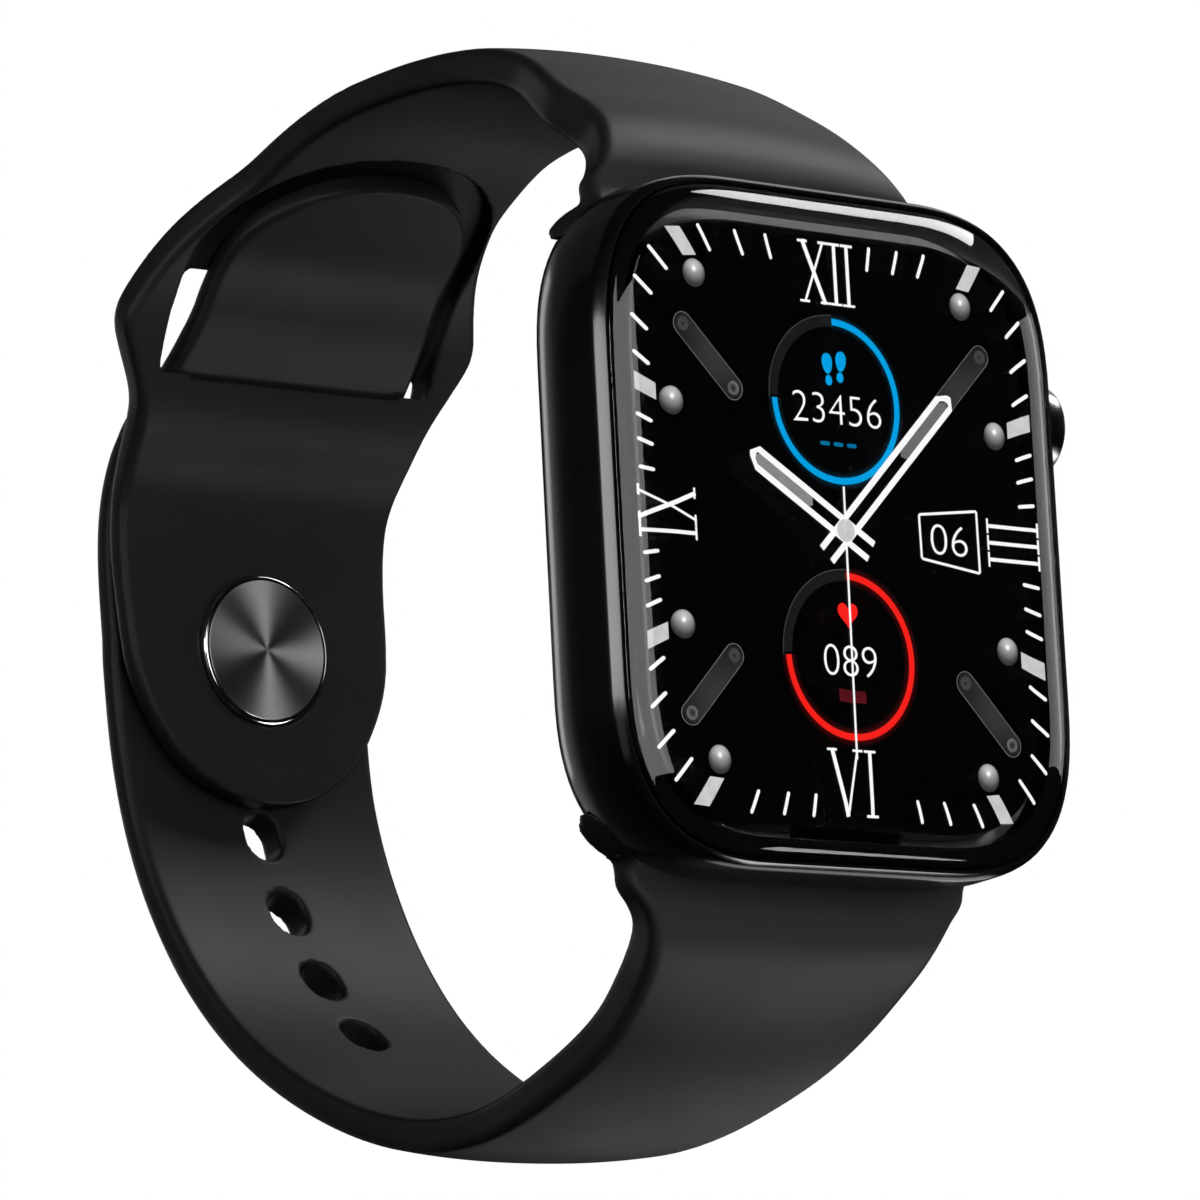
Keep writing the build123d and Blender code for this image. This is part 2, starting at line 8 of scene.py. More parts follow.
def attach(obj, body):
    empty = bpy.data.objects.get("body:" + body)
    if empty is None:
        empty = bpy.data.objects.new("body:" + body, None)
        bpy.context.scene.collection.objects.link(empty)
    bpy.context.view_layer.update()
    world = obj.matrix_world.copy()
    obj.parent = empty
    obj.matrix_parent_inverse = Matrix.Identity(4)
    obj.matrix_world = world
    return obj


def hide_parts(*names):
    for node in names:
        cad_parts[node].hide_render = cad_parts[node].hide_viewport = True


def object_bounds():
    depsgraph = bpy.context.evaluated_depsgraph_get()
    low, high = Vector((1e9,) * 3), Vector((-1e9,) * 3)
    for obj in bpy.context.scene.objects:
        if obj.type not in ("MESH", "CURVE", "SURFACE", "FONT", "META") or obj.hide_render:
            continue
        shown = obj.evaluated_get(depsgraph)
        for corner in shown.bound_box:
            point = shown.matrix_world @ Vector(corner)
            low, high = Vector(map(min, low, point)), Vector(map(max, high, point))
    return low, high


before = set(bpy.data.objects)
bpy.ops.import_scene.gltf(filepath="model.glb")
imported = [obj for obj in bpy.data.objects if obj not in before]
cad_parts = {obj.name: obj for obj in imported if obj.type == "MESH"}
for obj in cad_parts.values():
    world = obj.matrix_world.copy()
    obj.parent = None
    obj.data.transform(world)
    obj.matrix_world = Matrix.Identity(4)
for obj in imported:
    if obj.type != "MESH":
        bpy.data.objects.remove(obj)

cad_lo, cad_hi = [list(map(float, v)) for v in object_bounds()]

MM = 0.001
DY = -34.5          # glass-edge plane to the middle of the wrist opening
rng = np.random.default_rng(7)


def mm(x, y, z):
    return (x * MM, (y + DY) * MM, z * MM)


# ---------------------------------------------------------------- materials
def new_mat(name):
    m = bpy.data.materials.new(name)
    m.use_nodes = True
    nt = m.node_tree
    b = nt.nodes["Principled BSDF"]
    return m, nt, b


def noise(nt, scale, detail=3.0, rough=0.5, coord="Object", stretch=None):
    tc = nt.nodes.new("ShaderNodeTexCoord")
    n = nt.nodes.new("ShaderNodeTexNoise")
    n.inputs["Scale"].default_value = scale
    n.inputs["Detail"].default_value = detail
    n.inputs["Roughness"].default_value = rough
    if stretch:
        mp = nt.nodes.new("ShaderNodeMapping")
        mp.inputs["Scale"].default_value = stretch
        nt.links.new(tc.outputs[coord], mp.inputs["Vector"])
        nt.links.new(mp.outputs["Vector"], n.inputs["Vector"])
    else:
        nt.links.new(tc.outputs[coord], n.inputs["Vector"])
    return n


def ramp(nt, src, stops):
    r = nt.nodes.new("ShaderNodeValToRGB")
    el = r.color_ramp.elements
    while len(el) < len(stops):
        el.new(0.5)
    for e, (p, c) in zip(el, stops):
        e.position = p
        e.color = (c[0], c[1], c[2], 1) if len(c) == 3 else c
    nt.links.new(src, r.inputs["Fac"])
    return r


def maprange(nt, src, a, b, lo=0.0, hi=1.0):
    m = nt.nodes.new("ShaderNodeMapRange")
    m.inputs["From Min"].default_value = lo
    m.inputs["From Max"].default_value = hi
    m.inputs["To Min"].default_value = a
    m.inputs["To Max"].default_value = b
    nt.links.new(src, m.inputs["Value"])
    return m


def bump(nt, b, src, strength, distance):
    bp = nt.nodes.new("ShaderNodeBump")
    bp.inputs["Strength"].default_value = strength
    bp.inputs["Distance"].default_value = distance
    nt.links.new(src, bp.inputs["Height"])
    nt.links.new(bp.outputs["Normal"], b.inputs["Normal"])
    return bp


def surface(name, dark, light, rough, metallic=0.0, scale=900.0, stretch=None, bump_mm=0.004, bump_strength=0.3,
            spec=0.5, coat=0.0, coat_rough=0.1, sheen=0.0, aniso=0.0):
    """A moulded, pressed or anodised surface: colour and gloss vary a little, with a fine texture."""
    m, nt, b = new_mat(name)
    n = noise(nt, scale, 4.0, 0.6, stretch=stretch)
    big = noise(nt, scale / 14.0, 2.0, 0.5)
    mixn = nt.nodes.new("ShaderNodeMath"); mixn.operation = "MULTIPLY_ADD"
    nt.links.new(big.outputs["Fac"], mixn.inputs[0]); mixn.inputs[1].default_value = 0.6
    half = nt.nodes.new("ShaderNodeMath"); half.operation = "MULTIPLY"; half.inputs[1].default_value = 0.4
    nt.links.new(n.outputs["Fac"], half.inputs[0]); nt.links.new(half.outputs[0], mixn.inputs[2])
    r = ramp(nt, mixn.outputs[0], [(0.3, dark), (0.7, light)])
    nt.links.new(r.outputs["Color"], b.inputs["Base Color"])
    mr = maprange(nt, mixn.outputs[0], rough[0], rough[1], 0.3, 0.7)
    nt.links.new(mr.outputs[0], b.inputs["Roughness"])
    b.inputs["Metallic"].default_value = metallic
    b.inputs["Specular IOR Level"].default_value = spec
    b.inputs["Coat Weight"].default_value = coat
    b.inputs["Coat Roughness"].default_value = coat_rough
    b.inputs["Sheen Weight"].default_value = sheen
    if sheen:
        b.inputs["Sheen Roughness"].default_value = 0.45
    if aniso:
        b.inputs["Anisotropic"].default_value = aniso
    if bump_mm:
        bump(nt, b, n.outputs["Fac"], bump_strength, bump_mm * MM)
    return m


MAT = {}
MAT["case"] = surface("anodised_case", (0.004, 0.004, 0.005), (0.006, 0.006, 0.007), (0.13, 0.17), 0.0, 260.0,
                      bump_mm=0.0, spec=0.60, coat=0.0, coat_rough=0.12)
MAT["strap"] = surface("silicone", (0.0205, 0.0205, 0.0208), (0.0235, 0.0235, 0.0238), (0.42, 0.48), 0.0, 2600.0,
                       bump_mm=0.008, bump_strength=0.2, spec=0.09, sheen=0.0)
MAT["crown"] = surface("crown_gunmetal", (0.20, 0.20, 0.20), (0.25, 0.25, 0.25), (0.20, 0.26), 1.0, 700.0,
                       bump_mm=0.0)
MAT["back"] = surface("back_cover_matt", (0.014, 0.014, 0.015), (0.022, 0.022, 0.023), (0.42, 0.55), 0.0, 1500.0,
                      bump_mm=0.008)
MAT["release"] = surface("release_button", (0.020, 0.020, 0.021), (0.030, 0.030, 0.031), (0.35, 0.45), 0.0, 1500.0,
                         bump_mm=0.006)
MAT["inner_steel"] = surface("pressed_steel", (0.46, 0.46, 0.47), (0.62, 0.62, 0.63), (0.30, 0.45), 1.0, 500.0,
                             stretch=(1, 1, 9), bump_mm=0.006)
MAT["screw"] = surface("screw_steel", (0.20, 0.20, 0.21), (0.34, 0.34, 0.35), (0.25, 0.4), 1.0, 900.0, bump_mm=0.004)
MAT["board"] = surface("solder_mask", (0.004, 0.030, 0.024), (0.008, 0.05, 0.04), (0.3, 0.4), 0.0, 900.0, bump_mm=0.01)
MAT["chip"] = surface("chip_epoxy", (0.012, 0.012, 0.012), (0.022, 0.022, 0.022), (0.5, 0.6), 0.0, 1800.0, bump_mm=0.01)
MAT["flex"] = surface("polyimide", (0.26, 0.12, 0.02), (0.36, 0.18, 0.03), (0.3, 0.4), 0.0, 600.0)
MAT["battery"] = surface("battery_pouch", (0.10, 0.10, 0.11), (0.16, 0.16, 0.17), (0.35, 0.5), 0.4, 240.0, bump_mm=0.05)
MAT["foam"] = surface("foam_pad", (0.02, 0.02, 0.02), (0.05, 0.05, 0.05), (0.85, 0.95), 0.0, 2500.0, bump_mm=0.06)
MAT["plastic"] = surface("inner_plastic", (0.022, 0.022, 0.024), (0.035, 0.035, 0.038), (0.4, 0.5), 0.0, 1200.0)
MAT["film"] = surface("speaker_film", (0.05, 0.05, 0.05), (0.09, 0.09, 0.09), (0.4, 0.5), 0.0, 1500.0)
MAT["tungsten"] = surface("rotor_weight", (0.30, 0.30, 0.31), (0.42, 0.42, 0.43), (0.4, 0.55), 1.0, 1500.0, bump_mm=0.02)
MAT["seal"] = surface("seal_rubber", (0.012, 0.012, 0.012), (0.022, 0.022, 0.022), (0.5, 0.6), 0.0, 1500.0)
MAT["lug"] = surface("lug_bar_coating", (0.07, 0.07, 0.07), (0.11, 0.11, 0.11), (0.3, 0.4), 1.0, 700.0, stretch=(12, 1, 1),
                     bump_mm=0.004)
MAT["display_black"] = surface("display_black", (0.0015, 0.0015, 0.0018), (0.0025, 0.0025, 0.003), (0.2, 0.3), 0.0, 400.0,
                               bump_mm=0.0, spec=0.1)
MAT["adhesive"] = surface("adhesive_black", (0.001, 0.001, 0.001), (0.002, 0.002, 0.002), (0.7, 0.8), 0.0, 400.0,
                          bump_mm=0.0, spec=0.1)


def glass_mat(name, tint=(1, 1, 1), rough=0.0, ior=1.47):
    m, nt, b = new_mat(name)
    n = noise(nt, 90.0, 2.0, 0.4)
    mr = maprange(nt, n.outputs["Fac"], rough, rough + 0.004, 0.3, 0.7)
    nt.links.new(mr.outputs[0], b.inputs["Roughness"])
    b.inputs["Base Color"].default_value = (*tint, 1)
    b.inputs["Transmission Weight"].default_value = 1.0
    b.inputs["IOR"].default_value = ior
    return m


MAT["glass"] = glass_mat("cover_glass_clear")
MAT["sensor_glass"] = glass_mat("sensor_glass_tint", (0.16, 0.17, 0.2), 0.02)

m, nt, b = new_mat("led_lens")
n = noise(nt, 2500.0)
r = ramp(nt, n.outputs["Fac"], [(0.3, (0.05, 0.35, 0.12)), (0.7, (0.1, 0.5, 0.2))])
nt.links.new(r.outputs["Color"], b.inputs["Base Color"])
b.inputs["Emission Color"].default_value = (0.1, 0.9, 0.3, 1)
b.inputs["Emission Strength"].default_value = 0.25
b.inputs["Roughness"].default_value = 0.15
MAT["led"] = m


def lit(name, color, strength=1.0, vary=0.04):
    """A lit area of the display: an emitter with the panel's faint unevenness."""
    m, nt, b = new_mat(name)
    n = noise(nt, 1800.0, 2.0, 0.5)
    lo = tuple(c * (1 - vary) for c in color)
    r = ramp(nt, n.outputs["Fac"], [(0.35, lo), (0.65, color)])
    nt.links.new(r.outputs["Color"], b.inputs["Emission Color"])
    b.inputs["Emission Strength"].default_value = strength
    b.inputs["Base Color"].default_value = (0.002, 0.002, 0.002, 1)
    b.inputs["Roughness"].default_value = 0.5
    b.inputs["Specular IOR Level"].default_value = 0.1
    return m


MAT["white"] = lit("lit_white", (1.0, 1.0, 1.0), 1.05)
MAT["block"] = lit("lit_block", (0.66, 0.67, 0.67), 1.0, 0.12)
MAT["lume"] = lit("lit_lume_grey", (0.27, 0.27, 0.27), 1.0, 0.10)
MAT["lume_dark"] = lit("lit_lume_dark", (0.17, 0.165, 0.17), 1.0, 0.10)
MAT["blue"] = lit("lit_blue", (0.0, 0.36, 0.78), 1.05)
MAT["red"] = lit("lit_red", (0.95, 0.014, 0.010), 1.05)
MAT["darkred"] = lit("lit_dark_red", (0.10, 0.005, 0.010), 1.0, 0.25)
MAT["track"] = lit("lit_track", (0.008, 0.009, 0.009), 1.0)
MAT["track_line"] = lit("lit_track_line", (0.055, 0.055, 0.06), 1.0)
MAT["bar_line"] = lit("lit_bar_line", (0.15, 0.15, 0.15), 1.0, 0.3)


def shaded_mat(name):
    m, nt, b = new_mat(name)
    a = nt.nodes.new("ShaderNodeAttribute")
    a.attribute_name = "shade"
    nt.links.new(a.outputs["Color"], b.inputs["Emission Color"])
    b.inputs["Emission Strength"].default_value = 1.0
    b.inputs["Base Color"].default_value = (0.002, 0.002, 0.002, 1)
    b.inputs["Specular IOR Level"].default_value = 0.1
    return m


MAT["shaded"] = shaded_mat("lit_shaded")


# ---------------------------------------------------------------- mesh tools
def link(name, me, mat, body, smooth=True, angle=None):
    ob = bpy.data.objects.new(name, me)
    bpy.context.scene.collection.objects.link(ob)
    if mat is not None:
        ob.data.materials.clear()
        ob.data.materials.append(mat)
    if smooth:
        for p in me.polygons:
            p.use_smooth = True
        if angle is not None:
            me.set_sharp_from_angle(angle=math.radians(angle))
    if body:
        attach(ob, body)
    return ob


def mesh_from(name, verts, faces):
    me = bpy.data.meshes.new(name)
    me.from_pydata([tuple(v) for v in verts], [], [tuple(f) for f in faces])
    me.update()
    bm = bmesh.new()
    bm.from_mesh(me)
    bmesh.ops.recalc_face_normals(bm, faces=bm.faces)
    bm.to_mesh(me)
    bm.free()
    return me


def loops_mesh(name, loops, closed_across=False, cap=True):
    """Skin of equal loops of points (mm, glass frame), joined one to the next."""
    n = len(loops[0])
    verts = [mm(*p) for lp in loops for p in lp]
    faces = []
    m_ = len(loops)
    rngm = m_ if closed_across else m_ - 1
    for i in range(rngm):
        j = (i + 1) % m_
        for k in range(n):
            k2 = (k + 1) % n
            faces.append((i * n + k, i * n + k2, j * n + k2, j * n + k))
    if cap and not closed_across:
        faces.append(tuple(range(n))[::-1])
        faces.append(tuple((m_ - 1) * n + k for k in range(n)))
    return mesh_from(name, verts, faces)


def outline(off, y, hw=18.1, hh=21.1, r=11.5, nexp=2.8, nc=22, ns=8, fixed=False):
    hw_, hh_ = (hw, hh) if fixed else (hw + off, hh + off)
    r_ = r if fixed else r + off
    t = np.linspace(0, np.pi / 2, nc)
    cx = np.cos(t).clip(0) ** (2 / nexp)
    cz = np.sin(t).clip(0) ** (2 / nexp)
    q = np.stack([hw_ - r_ + r_ * cx, hh_ - r_ + r_ * cz], 1)
    seg = []
    for sx, sz in ((1, 1), (-1, 1), (-1, -1), (1, -1)):
        qq = q * [sx, sz]
        if sx * sz < 0:
            qq = qq[::-1]
        seg.append(qq)
    out = []
    for i in range(4):
        a = seg[i]
        b2 = seg[(i + 1) % 4]
        out += [tuple(p) for p in a]
        for k in range(1, ns):
            w = k / ns
            out.append(tuple(a[-1] * (1 - w) + b2[0] * w))
    return [(p[0], y, p[1]) for p in out]


def lathe(name, prof, centre, axis, n=96):
    """prof: (r, h) pairs along the axis; closed at both ends on the axis."""
    ax = Vector(axis).normalized()
    u = Vector((0, 0, 1)) if abs(ax.z) < 0.9 else Vector((0, 1, 0))
    e1 = ax.cross(u).normalized()
    e2 = ax.cross(e1)
    verts, faces = [], []
    ring = []
    for r_, h in prof:
        if r_ < 1e-6:
            ring.append([len(verts)])
            verts.append(mm(*(Vector(centre) + ax * h)))
        else:
            ids = []
            for k in range(n):
                a = 2 * math.pi * k / n
                p = Vector(centre) + ax * h + (e1 * math.cos(a) + e2 * math.sin(a)) * r_
                ids.append(len(verts))
                verts.append(mm(*p))
            ring.append(ids)
    for a, b2 in zip(ring, ring[1:]):
        if len(a) == 1 and len(b2) == 1:
            continue
        for k in range(n):
            k2 = (k + 1) % n
            if len(a) == 1:
                faces.append((a[0], b2[k], b2[k2]))
            elif len(b2) == 1:
                faces.append((a[k], b2[0], a[k2]))
            else:
                faces.append((a[k], b2[k], b2[k2], a[k2]))
    return mesh_from(name, verts, faces)


def temp(me):
    ob = bpy.data.objects.new("tmp_" + me.name, me)
    bpy.context.scene.collection.objects.link(ob)
    return ob


def cyl_me(r_, a, b2, centre, axis, n=64):
    return lathe("cyl", [(0, a), (r_, a), (r_, b2), (0, b2)], centre, axis, n)


def prism_me(name, pts, lo, hi, axis):
    """Prism of a closed 2-D outline. axis 'y': pts are (x, z), spans y lo..hi. axis 'x': pts are (y, z)."""
    n = len(pts)
    if axis == "y":
        v = [mm(p[0], lo, p[1]) for p in pts] + [mm(p[0], hi, p[1]) for p in pts]
    else:
        v = [mm(lo, p[0], p[1]) for p in pts] + [mm(hi, p[0], p[1]) for p in pts]
    f = [tuple(range(n))[::-1], tuple(range(n, 2 * n))]
    for k in range(n):
        k2 = (k + 1) % n
        f.append((k, k2, n + k2, n + k))
    return mesh_from(name, v, f)


def pill_pts(c, length, width, ang=math.pi / 2, n=24):
    """Outline of a pill, its long way at ang from the first axis."""
    r_ = width / 2
    h = length / 2 - r_
    d = (math.cos(ang), math.sin(ang))
    q = (-d[1], d[0])
    pts = []
    for s_, a0 in ((1, -90), (-1, 90)):
        for k in range(n + 1):
            a = math.radians(a0 + 180 * k / n)
            u_, v_ = s_ * h + r_ * math.cos(a), r_ * math.sin(a)
            pts.append((c[0] + d[0] * u_ + q[0] * v_, c[1] + d[1] * u_ + q[1] * v_))
    return pts


def apply_mods(ob):
    dg = bpy.context.evaluated_depsgraph_get()
    dg.update()
    me = bpy.data.meshes.new_from_object(ob.evaluated_get(dg))
    ob.modifiers.clear()
    old = ob.data
    ob.data = me
    bpy.data.meshes.remove(old)


def cut(ob, cutters):
    for c in cutters:
        md = ob.modifiers.new("cut", "BOOLEAN")
        md.operation = "DIFFERENCE"
        md.solver = "EXACT"
        md.object = c
    apply_mods(ob)
    for c in cutters:
        me = c.data
        bpy.data.objects.remove(c)
        bpy.data.meshes.remove(me)


# ---------------------------------------------------------------- case
def smooth_profile(pts, k=4):
    p = np.array(pts, float)
    d = np.r_[0, np.cumsum(np.hypot(*np.diff(p, axis=0).T))]
    t = np.linspace(0, d[-1], (len(p) - 1) * k + 1)
    return np.stack([nat_spline(d, p[:, 0], t), nat_spline(d, p[:, 1], t)], 1)


def nat_spline(x, y, xi, deriv=False):
    x = np.asarray(x, float); y = np.asarray(y, float); xi = np.asarray(xi, float)
    n = len(x); h = np.diff(x)
    A = np.zeros((n, n)); r_ = np.zeros(n)
    A[0, 0] = A[-1, -1] = 1
    for i in range(1, n - 1):
        A[i, i - 1] = h[i - 1]; A[i, i] = 2 * (h[i - 1] + h[i]); A[i, i + 1] = h[i]
        r_[i] = 6 * ((y[i + 1] - y[i]) / h[i] - (y[i] - y[i - 1]) / h[i - 1])
    M = np.linalg.solve(A, r_)
    k = np.clip(np.searchsorted(x, xi) - 1, 0, n - 2)
    a = x[k + 1] - xi; b_ = xi - x[k]; hk = h[k]
    v = (M[k] * a ** 3 + M[k + 1] * b_ ** 3) / (6 * hk) + (y[k] / hk - M[k] * hk / 6) * a + (y[k + 1] / hk - M[k + 1] * hk / 6) * b_
    if not deriv:
        return v
    dv = (-M[k] * a ** 2 + M[k + 1] * b_ ** 2) / (2 * hk) - (y[k] / hk - M[k] * hk / 6) + (y[k + 1] / hk - M[k + 1] * hk / 6)
    return v, dv


flank = smooth_profile([(0.27, -0.04), (0.50, 0.26), (0.68, 1.10), (0.78, 2.40), (0.80, 3.90), (0.66, 5.20),
                        (0.26, 6.50), (-0.50, 7.58), (-1.66, 8.36)], 4)
loops = []
for o, y in [(-1.30, 3.85), (-1.30, 1.02), (-1.26, 0.96), (0.04, 0.95), (0.08, 0.90), (0.08, 0.10), (0.09, 0.02), (0.12, -0.03), (0.17, -0.05), (0.22, -0.05)]:
    loops.append(outline(o, y))
for o, y in flank:
    loops.append(outline(o, y))
loops.append(outline(-1.80, 8.395))
loops.append(outline(-2.2, 8.40))
bo = dict(hw=15.22, hh=16.62, r=5.1, nexp=2.0, fixed=True)
loops.append(outline(0, 8.40, **bo))
loops.append(outline(0, 8.36, hw=15.18, hh=16.58, r=5.1, nexp=2.0, fixed=True))
loops.append(outline(0, 7.37, hw=15.18, hh=16.58, r=5.1, nexp=2.0, fixed=True))
loops.append(outline(0, 7.35, hw=14.42, hh=15.82, r=7.0, nexp=2.0, fixed=True))
loops.append(outline(0, 7.12, hw=14.42, hh=15.82, r=7.0, nexp=2.0, fixed=True))
loops.append(outline(0, 7.08, hw=16.0, hh=17.0, r=8.0, nexp=2.4, fixed=True))
loops.append(outline(0, 3.95, hw=16.0, hh=17.0, r=8.0, nexp=2.4, fixed=True))
case = temp(loops_mesh("case_shell", loops, closed_across=True))
case.name = "case_shell"
NECK = (0.29, 0.957)
cutters = []
for s in (1, -1):
    cutters.append(temp(cyl_me(1.55, -22, 22, (0, 6.0, s * 19.4), (1, 0, 0))))
    d = (NECK[0], s * NECK[1]); q = (d[1], -d[0])
    quad = [(6.0 + q[0] * e * 1.08 + d[0] * t, s * 19.4 + q[1] * e * 1.08 + d[1] * t) for e, t in ((-1, 0), (1, 0), (1, 7), (-1, 7))]
    cutters.append(temp(prism_me("neckcut", quad, -22.5, 22.5, "x")))
cutters.append(temp(cyl_me(3.25, 18.2, 22, (0, 3.75, 8.5), (1, 0, 0), 96)))
cutters.append(temp(cyl_me(1.72, 15.2, 22.4, (0, 3.75, 8.5), (1, 0, 0))))
cutters.append(temp(prism_me("btn", pill_pts((4.2, -6.0), 9.2, 2.8), 17.4, 22.2, "x")))
cutters.append(temp(cyl_me(0.86, 15.2, 22.1, (0, 4.2, -6.0), (1, 0, 0))))
cutters.append(temp(cyl_me(0.4, 15.1, 22.5, (0, 4.2, 1.9), (1, 0, 0))))
cut(case, cutters)
case.data.materials.clear(); case.data.materials.append(MAT["case"])
for p in case.data.polygons:
    p.use_smooth = True
case.data.set_sharp_from_angle(angle=math.radians(32))
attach(case, "case"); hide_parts("case_frame")

# ---------------------------------------------------------------- cover glass
GW, GR = 3.6, 5.9
gl = [outline(-0.30, 0.62), outline(-0.06, 0.60), outline(-0.02, 0.55), outline(-0.02, 0.06)]
y_edge = -1.08 + (GR - math.sqrt(GR ** 2 - GW ** 2))
for k in range(0, 15):
    dgl = GW * (1 - (1 - k / 14) ** 1.0)
    yy = -1.08 + GR - math.sqrt(GR ** 2 - (GW - dgl) ** 2)
    if k == 0:
        yy = min(yy, 0.0)
        gl.append(outline(-0.03, yy + 0.04)); gl.append(outline(-0.07, yy - 0.02))
        continue
    gl.append(outline(-0.02 - dgl, yy))
for extra in (4.4, 5.6, 7.0, 9.0):
    gl.append(outline(-0.02 - extra, -1.08))
glass = link("curved_cover_glass", loops_mesh("curved_cover_glass", gl), MAT["glass"], "case", angle=40)
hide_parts("cover_glass")

# black printed border under the glass
bl = [outline(-0.36, 0.645), outline(-1.62, 0.645), outline(-1.62, 0.665), outline(-0.36, 0.665)]
border = link("glass_printed_border", loops_mesh("glass_printed_border", bl, closed_across=True), MAT["adhesive"], "case", smooth=False)

# ---------------------------------------------------------------- dial
LAYER = {"base": 0.745, "low": 0.735, "mid": 0.722, "hand": 0.708, "hand2": 0.696, "top": 0.684}


def flat(name, polys, mat, layer="mid", thick=0.006):
    """Lit shapes of the display: each a very thin plate at its layer."""
    y0 = LAYER[layer]
    verts, faces = [], []
    for pts in polys:
        n0 = len(verts); n_ = len(pts)
        verts += [mm(p[0], y0, p[1]) for p in pts] + [mm(p[0], y0 - thick, p[1]) for p in pts]
        faces += [tuple(range(n0, n0 + n_)), tuple(range(n0 + 2 * n_ - 1, n0 + n_ - 1, -1))]
        for k in range(n_):
            k2 = (k + 1) % n_
            faces.append((n0 + k, n0 + k2, n0 + n_ + k2, n0 + n_ + k))
    me = mesh_from(name, verts, faces)
    return link(name, me, mat, "case", smooth=False)


def bar(a, b2, w):
    dx, dz = b2[0] - a[0], b2[1] - a[1]
    L = math.hypot(dx, dz); nx, nz = -dz / L * w / 2, dx / L * w / 2
    return [(a[0] + nx, a[1] + nz), (b2[0] + nx, b2[1] + nz), (b2[0] - nx, b2[1] - nz), (a[0] - nx, a[1] - nz)]


def rbar(a, b2, w, n=6):
    """Bar with rounded ends."""
    dx, dz = b2[0] - a[0], b2[1] - a[1]
    L = math.hypot(dx, dz)
    return pill_pts(((a[0] + b2[0]) / 2, (a[1] + b2[1]) / 2), L, w, math.atan2(dz, dx), n)


def arc_quads(c, r0, r1, a0, a1, n):
    """Clockwise from twelve, in degrees."""
    out = []
    for k in range(n):
        p = [math.radians(90 - (a0 + (a1 - a0) * (k + e) / n)) for e in (0, 1)]
        out.append([(c[0] + r1 * math.cos(p[0]), c[1] + r1 * math.sin(p[0])), (c[0] + r1 * math.cos(p[1]), c[1] + r1 * math.sin(p[1])),
                    (c[0] + r0 * math.cos(p[1]), c[1] + r0 * math.sin(p[1])), (c[0] + r0 * math.cos(p[0]), c[1] + r0 * math.sin(p[0]))])
    return out


def arc_band(c, r0, r1, a0, a1, n=96):
    A = [math.radians(90 - (a0 + (a1 - a0) * k / n)) for k in range(n + 1)]
    return [(c[0] + r1 * math.cos(a), c[1] + r1 * math.sin(a)) for a in A] + [(c[0] + r0 * math.cos(a), c[1] + r0 * math.sin(a)) for a in A[::-1]]


def ring_me(name, c, r0, r1, mat, layer, n=128):
    y0 = LAYER[layer]
    lp = []
    for r_, y in ((r0, y0), (r1, y0), (r1, y0 - 0.006), (r0, y0 - 0.006)):
        lp.append([(c[0] + r_ * math.cos(2 * math.pi * k / n), y, c[1] + r_ * math.sin(2 * math.pi * k / n)) for k in range(n)])
    return link(name, loops_mesh(name, lp, closed_across=True), mat, "case", smooth=False)


# minute track: ticks at listed places, each pointing at the centre; path_pts makes a rounded-square path that the ticks
# don't use
def path_pts(hw, hh, r_, n=2400):
    o = outline(0, 0, hw=hw, hh=hh, r=r_, nexp=2.0, fixed=True, nc=60, ns=20)
    p = np.array([(a[0], a[2]) for a in o])
    i0 = np.argmin(np.abs(p[:, 0]) + (p[:, 1] < 0) * 99)
    p = np.roll(p, -i0, axis=0)
    if p[3, 0] < 0:
        p = p[::-1]
    return np.vstack([p, p[:1]])


ticks = []
for side, xo, li in ((-1, 15.78, 1.05), (1, 16.32, 1.30)):
    for up_ in (1, -1):
        for (dx, z0), (di, z1) in (((1.50, 16.50), (2.68, 15.10)), ((0.36, 14.60), (1.50, 13.45)), ((0.0, 12.20), (li, 11.20)),
                                   ((0.0, 9.90), (li, 9.05)), ((0.0, 6.00), (li, 5.50)), ((0.0, 4.45), (li, 4.05)), ((0.0, 2.68), (li, 2.50))):
            ticks.append(rbar((side * (xo - dx), up_ * z0), (side * (xo - di), up_ * z1), 0.24))
for x0 in (-10.5, -7.6, -5.1, 3.55, 5.9, 8.2):
    ticks.append(rbar((x0, 18.20), (x0 * 0.915, 16.65), 0.24))
for x0 in (-8.7, -6.1, -3.7, 5.3, 7.7, 10.4):
    ticks.append(rbar((x0, -18.20), (x0 * 0.925, -16.85), 0.24))
flat("dial_minute_ticks", ticks, MAT["white"], "mid")
blocks = []
for sx in (1, -1):
    for sz in (1, -1):
        blocks.append([(sx * a, sz * b2) for a, b2 in ((12.95, 17.78), (11.85, 17.88), (10.80, 16.30), (11.85, 16.18))])
        blocks.append([(sx * a, sz * b2) for a, b2 in (((16.32, 8.62), (14.50, 7.92), (14.50, 6.88), (16.32, 7.50)) if sx > 0 else ((15.78, 8.62), (14.42, 7.92), (14.42, 6.88), (15.78, 7.50)))])
flat("dial_hour_blocks", blocks, MAT["block"], "mid")

# Roman numerals
serif = 0.15


def upright(x, z0, z1, w, sw):
    return [bar((x, z0), (x, z1), w), bar((x - sw / 2, z0 + serif / 2), (x + sw / 2, z0 + serif / 2), serif),
            bar((x - sw / 2, z1 - serif / 2), (x + sw / 2, z1 - serif / 2), serif)]


def diag(a, b2, w, z_serif=True, sw=0.8):
    out = [bar(a, b2, w)]
    if z_serif:
        for p in (a, b2):
            s_ = -1 if p[1] == max(a[1], b2[1]) else 1
            out.append(bar((p[0] - sw / 2, p[1] + s_ * serif / 2), (p[0] + sw / 2, p[1] + s_ * serif / 2), serif))
    return out


